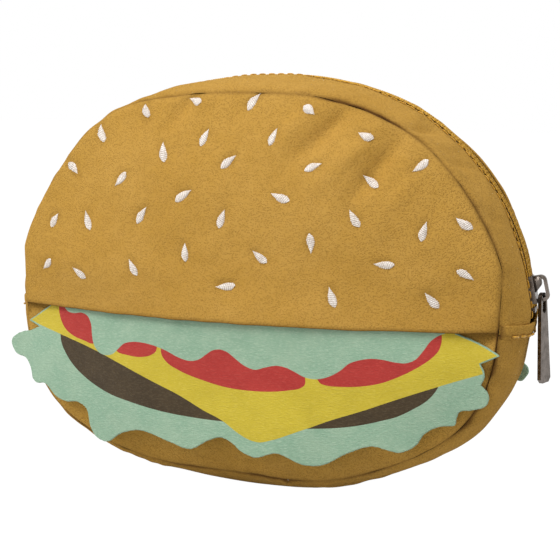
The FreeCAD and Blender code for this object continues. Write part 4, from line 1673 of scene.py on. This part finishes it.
    def marks(self, outline: Array, inner: Array) -> list[tuple[Array, bool]]:
        """The lines that the cloth's faces follow: its rim and the edges of its print.

        Args:
            outline: the cut edge.
            inner: the inner side of its plain rim.

        Returns:
            Each line with whether it is closed.
        """
        lines = [smooth_line(line, self.line_gap) for line in (self.cheese, self.patty, self.leaf)]
        rings = [smooth_line([*line, line[0]], self.line_gap)[:-1] for line in self.tomatoes]
        return [(inner, True), *((line[within(line, outline)], False) for line in lines),
                *((ring, True) for ring in rings)]

    def rim_points(self, flat: Array, border: Sequence[tuple[int, int]]
                   ) -> dict[int, tuple[float, float]]:
        """How the cut edge swells outward half way through the felt.

        Args:
            flat: the sheet's points as seen from the front.
            border: the pairs of points along its edge.

        Returns:
            Shift across and up of each point of the edge, by its number.
        """
        outward = np.zeros((len(flat), 2))
        for a, b in border:
            way = flat[b] - flat[a]
            way /= max(np.linalg.norm(way), 1e-9)
            outward[[a, b]] += (way[1], -way[0])
        chance = np.random.default_rng(9)
        shifts = {}
        for number in sorted({number for edge in border for number in edge}):
            way = outward[number] / max(np.linalg.norm(outward[number]), 1e-9)
            shifts[number] = tuple(way * (0.28 + 0.10 * chance.uniform(-1, 1)))
        return shifts

    def build(self) -> None:
        """Builds the sheet with its printed face, plain back and cut rim."""
        outline = self.outline()
        ahead = np.roll(outline, -1, axis=0) - np.roll(outline, 1, axis=0)
        ahead /= np.linalg.norm(ahead, axis=1)[:, None]
        inner = outline + np.stack([-ahead[:, 1], ahead[:, 0]], axis=1) * self.rim
        flat, triangles = cut_flat(outline, self.marks(outline, inner), self.gap)
        middles = flat[triangles].mean(axis=1)
        rim = ~within(middles, inner) & (middles[:, 1] < self.top)
        colour = self.colour_of(middles, rim)
        x, z = flat[:, 0], flat[:, 1]
        out = self.out(x, z)
        if self.side is Side.BACK:
            loose = step(90.0, 106.0, -x)
            x, z, out = (line + move * loose for line, move in zip((x, z, out), self.loose_lobe))
        edges = [edge for a, b, c in triangles.tolist() for edge in ((a, b), (b, c), (c, a))]
        known = set(edges)
        border = [edge for edge in edges if edge[::-1] not in known]
        shifts = self.rim_points(flat, border)
        count = len(flat)
        middle_of = {number: 2 * count + i for i, number in enumerate(shifts)}
        edge_row = [(x[number] + shift[0], -(out[number] - self.felt / 2), z[number] + shift[1])
                    for number, shift in shifts.items()]
        points = np.concatenate([np.stack([x, -out, z], axis=1),
                                 np.stack([x, -(out - self.felt), z], axis=1), edge_row])
        faces = [tuple(face) for face in triangles]
        faces += [(a + count, c + count, b + count) for a, b, c in triangles]
        for a, b in border:
            faces.append((a, middle_of[a], middle_of[b], b))
            faces.append((middle_of[a], a + count, b + count, middle_of[b]))
        slots = list(colour) + [Print.GREEN.value] * (len(triangles) + 2 * len(border))
        name = self.side.value
        sheet = make_mesh(f"{name}_felt", self.side.place(points), faces,
                          [self.finishes.green, self.finishes.yellow, self.finishes.red,
                           self.finishes.brown], slots)
        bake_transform(sheet)
        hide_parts(f"{name}_filling_felt")


# ---- inside -------------------------------------------------------------------------------------
@dataclass
class Lining:
    """The loose cloth lining with its bound seams, seen only when the zip is open."""
    form: PouchForm
    finishes: Finishes
    inset: float = 3.3
    mouth: float = 5.0
    hem_room: float = 3.4
    band_half: float = 26.8
    binding_inset: tuple[float, float] = (3.8, 3.6)
    binding_half: tuple[float, float] = (0.7, 1.4)

    def __post_init__(self) -> None:
        """Chooses the cloth's slack."""
        self.slack = Ripples(61, 18.0, 60.0, 12)
        self.ring = np.linspace(0, 2 * math.pi, 180, endpoint=False)

    def cloth_face(self, side: Side) -> None:
        """Builds the lining of one face.

        Args:
            side: the face.
        """
        form = self.form
        angle, part = np.meshgrid(self.ring, np.linspace(0.02, 1.0, 34), indexing="ij")
        far = form.reach(angle, form.hem) - self.inset
        x, z = far * part * np.cos(angle), form.hem + far * part * np.sin(angle)
        out = form.half_depth + (form.lower_bulge - self.inset) * (1 - part ** 2)
        out = out + 0.4 * self.slack.at(x, z) * (1 - part ** 4) - 0.4
        out = out - self.hem_room * np.exp(-((z - form.hem) / 16.0) ** 2)
        points = np.stack([x, -out, np.maximum(z, self.inset)], axis=-1)
        faces = [face[::-1] for face in grid_faces(*angle.shape, round_rows=True)]
        cloth = make_mesh(f"{side.value}_lining_cloth", form.placed(side, points), faces,
                          [self.finishes.lining])
        dress(cloth, [f"{side.value}_lining"])

    def binding(self, side: Side) -> None:
        """Builds the tape round one seam.

        Args:
            side: the face whose seam it is.
        """
        form, width = self.form, np.linspace(0.0, 2 * math.pi, 10, endpoint=False)
        (below, behind), (thick, wide) = self.binding_inset, self.binding_half
        around, turn = np.meshgrid(self.ring, width, indexing="ij")
        radius = form.reach(around, form.hem) - below + thick * np.cos(turn)
        y = -form.half_depth + behind + wide * np.sin(turn)
        z = np.maximum(form.hem + radius * np.sin(around), 1.6)
        points = np.stack([radius * np.cos(around), y, z], axis=-1)
        faces = grid_faces(*around.shape, round_rows=True, round_columns=True)
        tape = make_mesh(f"{side.value}_binding_tape", form.placed(side, points), faces,
                         [self.finishes.tape])
        dress(tape, [f"{side.value}_seam_binding"])

    def band(self) -> None:
        """Builds the lining of the edge band, left open along the zip."""
        form, far, (rows, columns) = self.form, self.band_half, (140, 20)
        grids = []
        for low, high, first, last in ((-187.6, 7.6, -far, far), (7.6, 172.4, -far, -self.mouth),
                                       (7.6, 172.4, self.mouth, far)):
            angle, y = np.meshgrid(np.radians(np.linspace(low, high, rows)),
                                   np.linspace(first, last, columns), indexing="ij")
            seam = form.reach(angle, form.zip_centre)
            radius = seam + (form.rim(angle) - seam) * (1 - (y / form.half_depth) ** 2)
            radius = radius - self.inset - 0.25 + 0.25 * self.slack.at(angle * 100, y)
            z = np.maximum(form.zip_centre + radius * np.sin(angle), self.inset)
            grids.append(np.stack([radius * np.cos(angle), y, z], axis=-1).reshape(-1, 3))
        faces = [face for i in range(len(grids))
                 for face in grid_faces(rows, columns, start=i * rows * columns)]
        cloth = make_mesh("lining_band_cloth", form.placed(Side.FRONT, np.concatenate(grids)),
                          faces, [self.finishes.lining])
        dress(cloth, ["lining_gusset"])

    def build(self) -> None:
        """Builds the lining's faces, the seam bindings and the lining's band."""
        for side in Side:
            self.cloth_face(side)
            self.binding(side)
        self.band()


# ---- metal --------------------------------------------------------------------------------------
def finish_node(name: str, finish: bpy.types.Material, bevel: float) -> None:
    """Gives a CAD node its finish and breaks its sharp edges.

    Args:
        name: the node.
        finish: its material.
        bevel: width of the broken edge, in millimetres.
    """
    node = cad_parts[name]
    node.data.materials.clear()
    node.data.materials.append(finish)
    rounding = node.modifiers.new("broken_edges", "BEVEL")
    rounding.width = bevel * MM
    rounding.segments = 3
    rounding.limit_method = "ANGLE"
    rounding.angle_limit = math.radians(38)
    rounding.harden_normals = False


@dataclass
class Hardware:
    """Slider, its bridge and the flat puller bar."""
    form: PouchForm
    finishes: Finishes
    angle: float = 13.3
    plate_out: float = 111.8
    housing_size: tuple[float, float, float, float] = (-1.6, 5.0, 2.3, 3.0)

    def build(self) -> None:
        """Dresses the metal nodes."""
        for name, bevel in (("slider_body", 0.22), ("slider_bridge", 0.3), ("puller_bar", 0.38)):
            finish_node(name, self.finishes.metal, bevel)
        self.housing()

    def housing(self) -> None:
        """Builds the raised housing on the slider's plate, under its bridge."""
        low, high, half, tall = self.housing_size
        block, under = bmesh.new(), self.plate_out - 0.3
        rings = []
        for ends in (((low, half, under), (high, half, under)),
                     ((low + 2.9, half - 0.1, self.plate_out + tall * 0.93),
                      (high - 0.3, half - 0.3, self.plate_out + tall))):
            (start, start_half, start_out), (end, end_half, end_out) = ends
            rings.append([block.verts.new(corner) for corner in
                          ((start_out, -start_half, start), (start_out, start_half, start),
                           (end_out, end_half, end), (end_out, -end_half, end))])
        base, top = rings
        block.faces.new(base[::-1])
        block.faces.new(top)
        for i in range(4):
            block.faces.new((base[i], base[(i + 1) % 4], top[(i + 1) % 4], top[i]))
        bmesh.ops.recalc_face_normals(block, faces=block.faces)
        bmesh.ops.bevel(block, geom=block.edges, offset=0.32, segments=3, affect="EDGES")
        block.verts.index_update()
        x, y, along = np.array([corner.co for corner in block.verts]).T
        faces = [[corner.index for corner in face.verts] for face in block.faces]
        block.free()
        turn = math.radians(self.angle)
        points = np.stack([x * math.cos(turn) - along * math.sin(turn), y, self.form.zip_centre
                           + x * math.sin(turn) + along * math.cos(turn)], axis=1)
        piece = make_mesh("slider_housing", points, faces, [self.finishes.metal])
        dress(piece, body="slider")


# ---- studio -------------------------------------------------------------------------------------
@dataclass
class Studio:
    """Pale floor, soft light and the camera."""
    turn: float = 0.296706
    tilt: float = 0.132308
    roll: float = -0.018974
    distance: float = 0.5485
    aim: tuple[float, float, float] = (0.002802, 0.0, 0.086306)
    lens: float = 83.96
    sky: float = 0.35
    sky_colour: Colour = (1.0, 0.93, 0.84)
    floor_half: float = 9.0
    lamps: tuple[tuple[str, tuple[float, float, float], float, float], ...] = (
        ("key", (-0.75, -1.0, 1.15), 0.8, 17.6), ("fill", (-0.5, -1.25, 0.15), 0.9, 3.2),
        ("top", (0.6, -0.25, 1.4), 0.8, 11.0))

    def floor(self) -> None:
        """Builds the floor, white to the eye but for the pouch's shadow."""
        sheet = ShaderSheet(bpy.data.materials.new("pale_floor"))
        grain = sheet.noise(40.0, 2.0, 0.5)
        tone = sheet.mix(grain, srgb(206, 206, 206), srgb(212, 212, 212))
        matt = sheet.node("ShaderNodeBsdfDiffuse", None, {"Color": tone})
        glow = sheet.node("ShaderNodeEmission", None, {"Color": WHITE, "Strength": 1.08})
        seen = [sheet.node("ShaderNodeLightPath", output=name)
                for name in ("Is Camera Ray", "Is Glossy Ray", "Is Transmission Ray")]
        share = (seen[0] + seen[1] + seen[2]).between(0.0, 1.0) * 0.93
        both = sheet.node("ShaderNodeMixShader", None, {0: share, 1: matt, 2: glow})
        sheet.end(both, "ShaderNodeOutputMaterial")
        corners = np.array([(-1, -1, 0), (1, -1, 0), (1, 1, 0), (-1, 1, 0)]) * self.floor_half / MM
        plane = make_mesh("floor", corners, [(0, 1, 2, 3)], [sheet.owner])

    def world(self) -> None:
        """Sets plain sky light, white where it is seen."""
        world = bpy.data.worlds.new("studio")
        bpy.context.scene.world = world
        sheet = ShaderSheet(world)
        rays = [sheet.node("ShaderNodeLightPath", output=name)
                for name in ("Is Camera Ray", "Is Glossy Ray")]
        seen = rays[0].math("MAXIMUM", *rays)
        soft, white = (sheet.node("ShaderNodeBackground", None,
                                  {"Color": colour, "Strength": power})
                       for colour, power in ((self.sky_colour, self.sky), (WHITE, 1.0)))
        sheet.end(sheet.node("ShaderNodeMixShader", None, {0: seen, 1: soft, 2: white}),
                  "ShaderNodeOutputWorld")

    def lamp(self, name: str, place: tuple[float, float, float], size: float, power: float
             ) -> None:
        """Adds a soft square lamp that faces the pouch.

        Args:
            name: the lamp's name.
            place: its position in metres.
            size: its side in metres.
            power: its power in watts.
        """
        light = bpy.data.lights.new(name, "AREA")
        light.shape = "SQUARE"
        light.size = size
        light.energy = power
        lamp = bpy.data.objects.new(name, light)
        lamp.location = place
        aim = Vector((0.0, 0.0, 0.08)) - Vector(place)
        lamp.rotation_euler = aim.to_track_quat("-Z", "Y").to_euler()
        bpy.context.scene.collection.objects.link(lamp)

    def camera(self) -> None:
        """Sets the camera."""
        back = Vector((math.sin(self.turn) * math.cos(self.tilt),
                       -math.cos(self.turn) * math.cos(self.tilt), math.sin(self.tilt)))
        right = Vector((math.cos(self.turn), math.sin(self.turn), 0.0))
        up = back.cross(right)
        across = math.cos(self.roll) * right - math.sin(self.roll) * up
        upward = math.sin(self.roll) * right + math.cos(self.roll) * up
        lens = bpy.data.cameras.new("view")
        lens.lens = self.lens
        lens.sensor_width = 36.0
        lens.clip_start = 0.01
        camera = bpy.data.objects.new("view", lens)
        place = Vector(self.aim) + self.distance * back
        camera.matrix_world = Matrix((
            (across.x, upward.x, back.x, place.x), (across.y, upward.y, back.y, place.y),
            (across.z, upward.z, back.z, place.z), (0.0, 0.0, 0.0, 1.0)))
        bpy.context.scene.collection.objects.link(camera)
        bpy.context.scene.camera = camera

    def build(self) -> None:
        """Sets up floor, light and camera."""
        bpy.context.scene.view_settings.view_transform = "Standard"
        self.floor()
        self.world()
        for lamp in self.lamps:
            self.lamp(*lamp)
        self.camera()


def main() -> None:
    """Builds the whole pouch."""
    logging.basicConfig(level=logging.INFO, format="%(name)s: %(message)s")
    finishes = Finishes()
    form = PouchForm()
    band = EdgeBand(form, finishes)
    for side in Side:
        face = Faces(form, finishes, side)
        face.build()
        FillingFelt(form, finishes, face, side).build()
    band.build()
    ZipChain(form, finishes).build()
    Topstitching(form, band, finishes).build()
    Lining(form, finishes).build()
    Hardware(form, finishes).build()
    Studio().build()


if __name__ == "__main__":
    main()
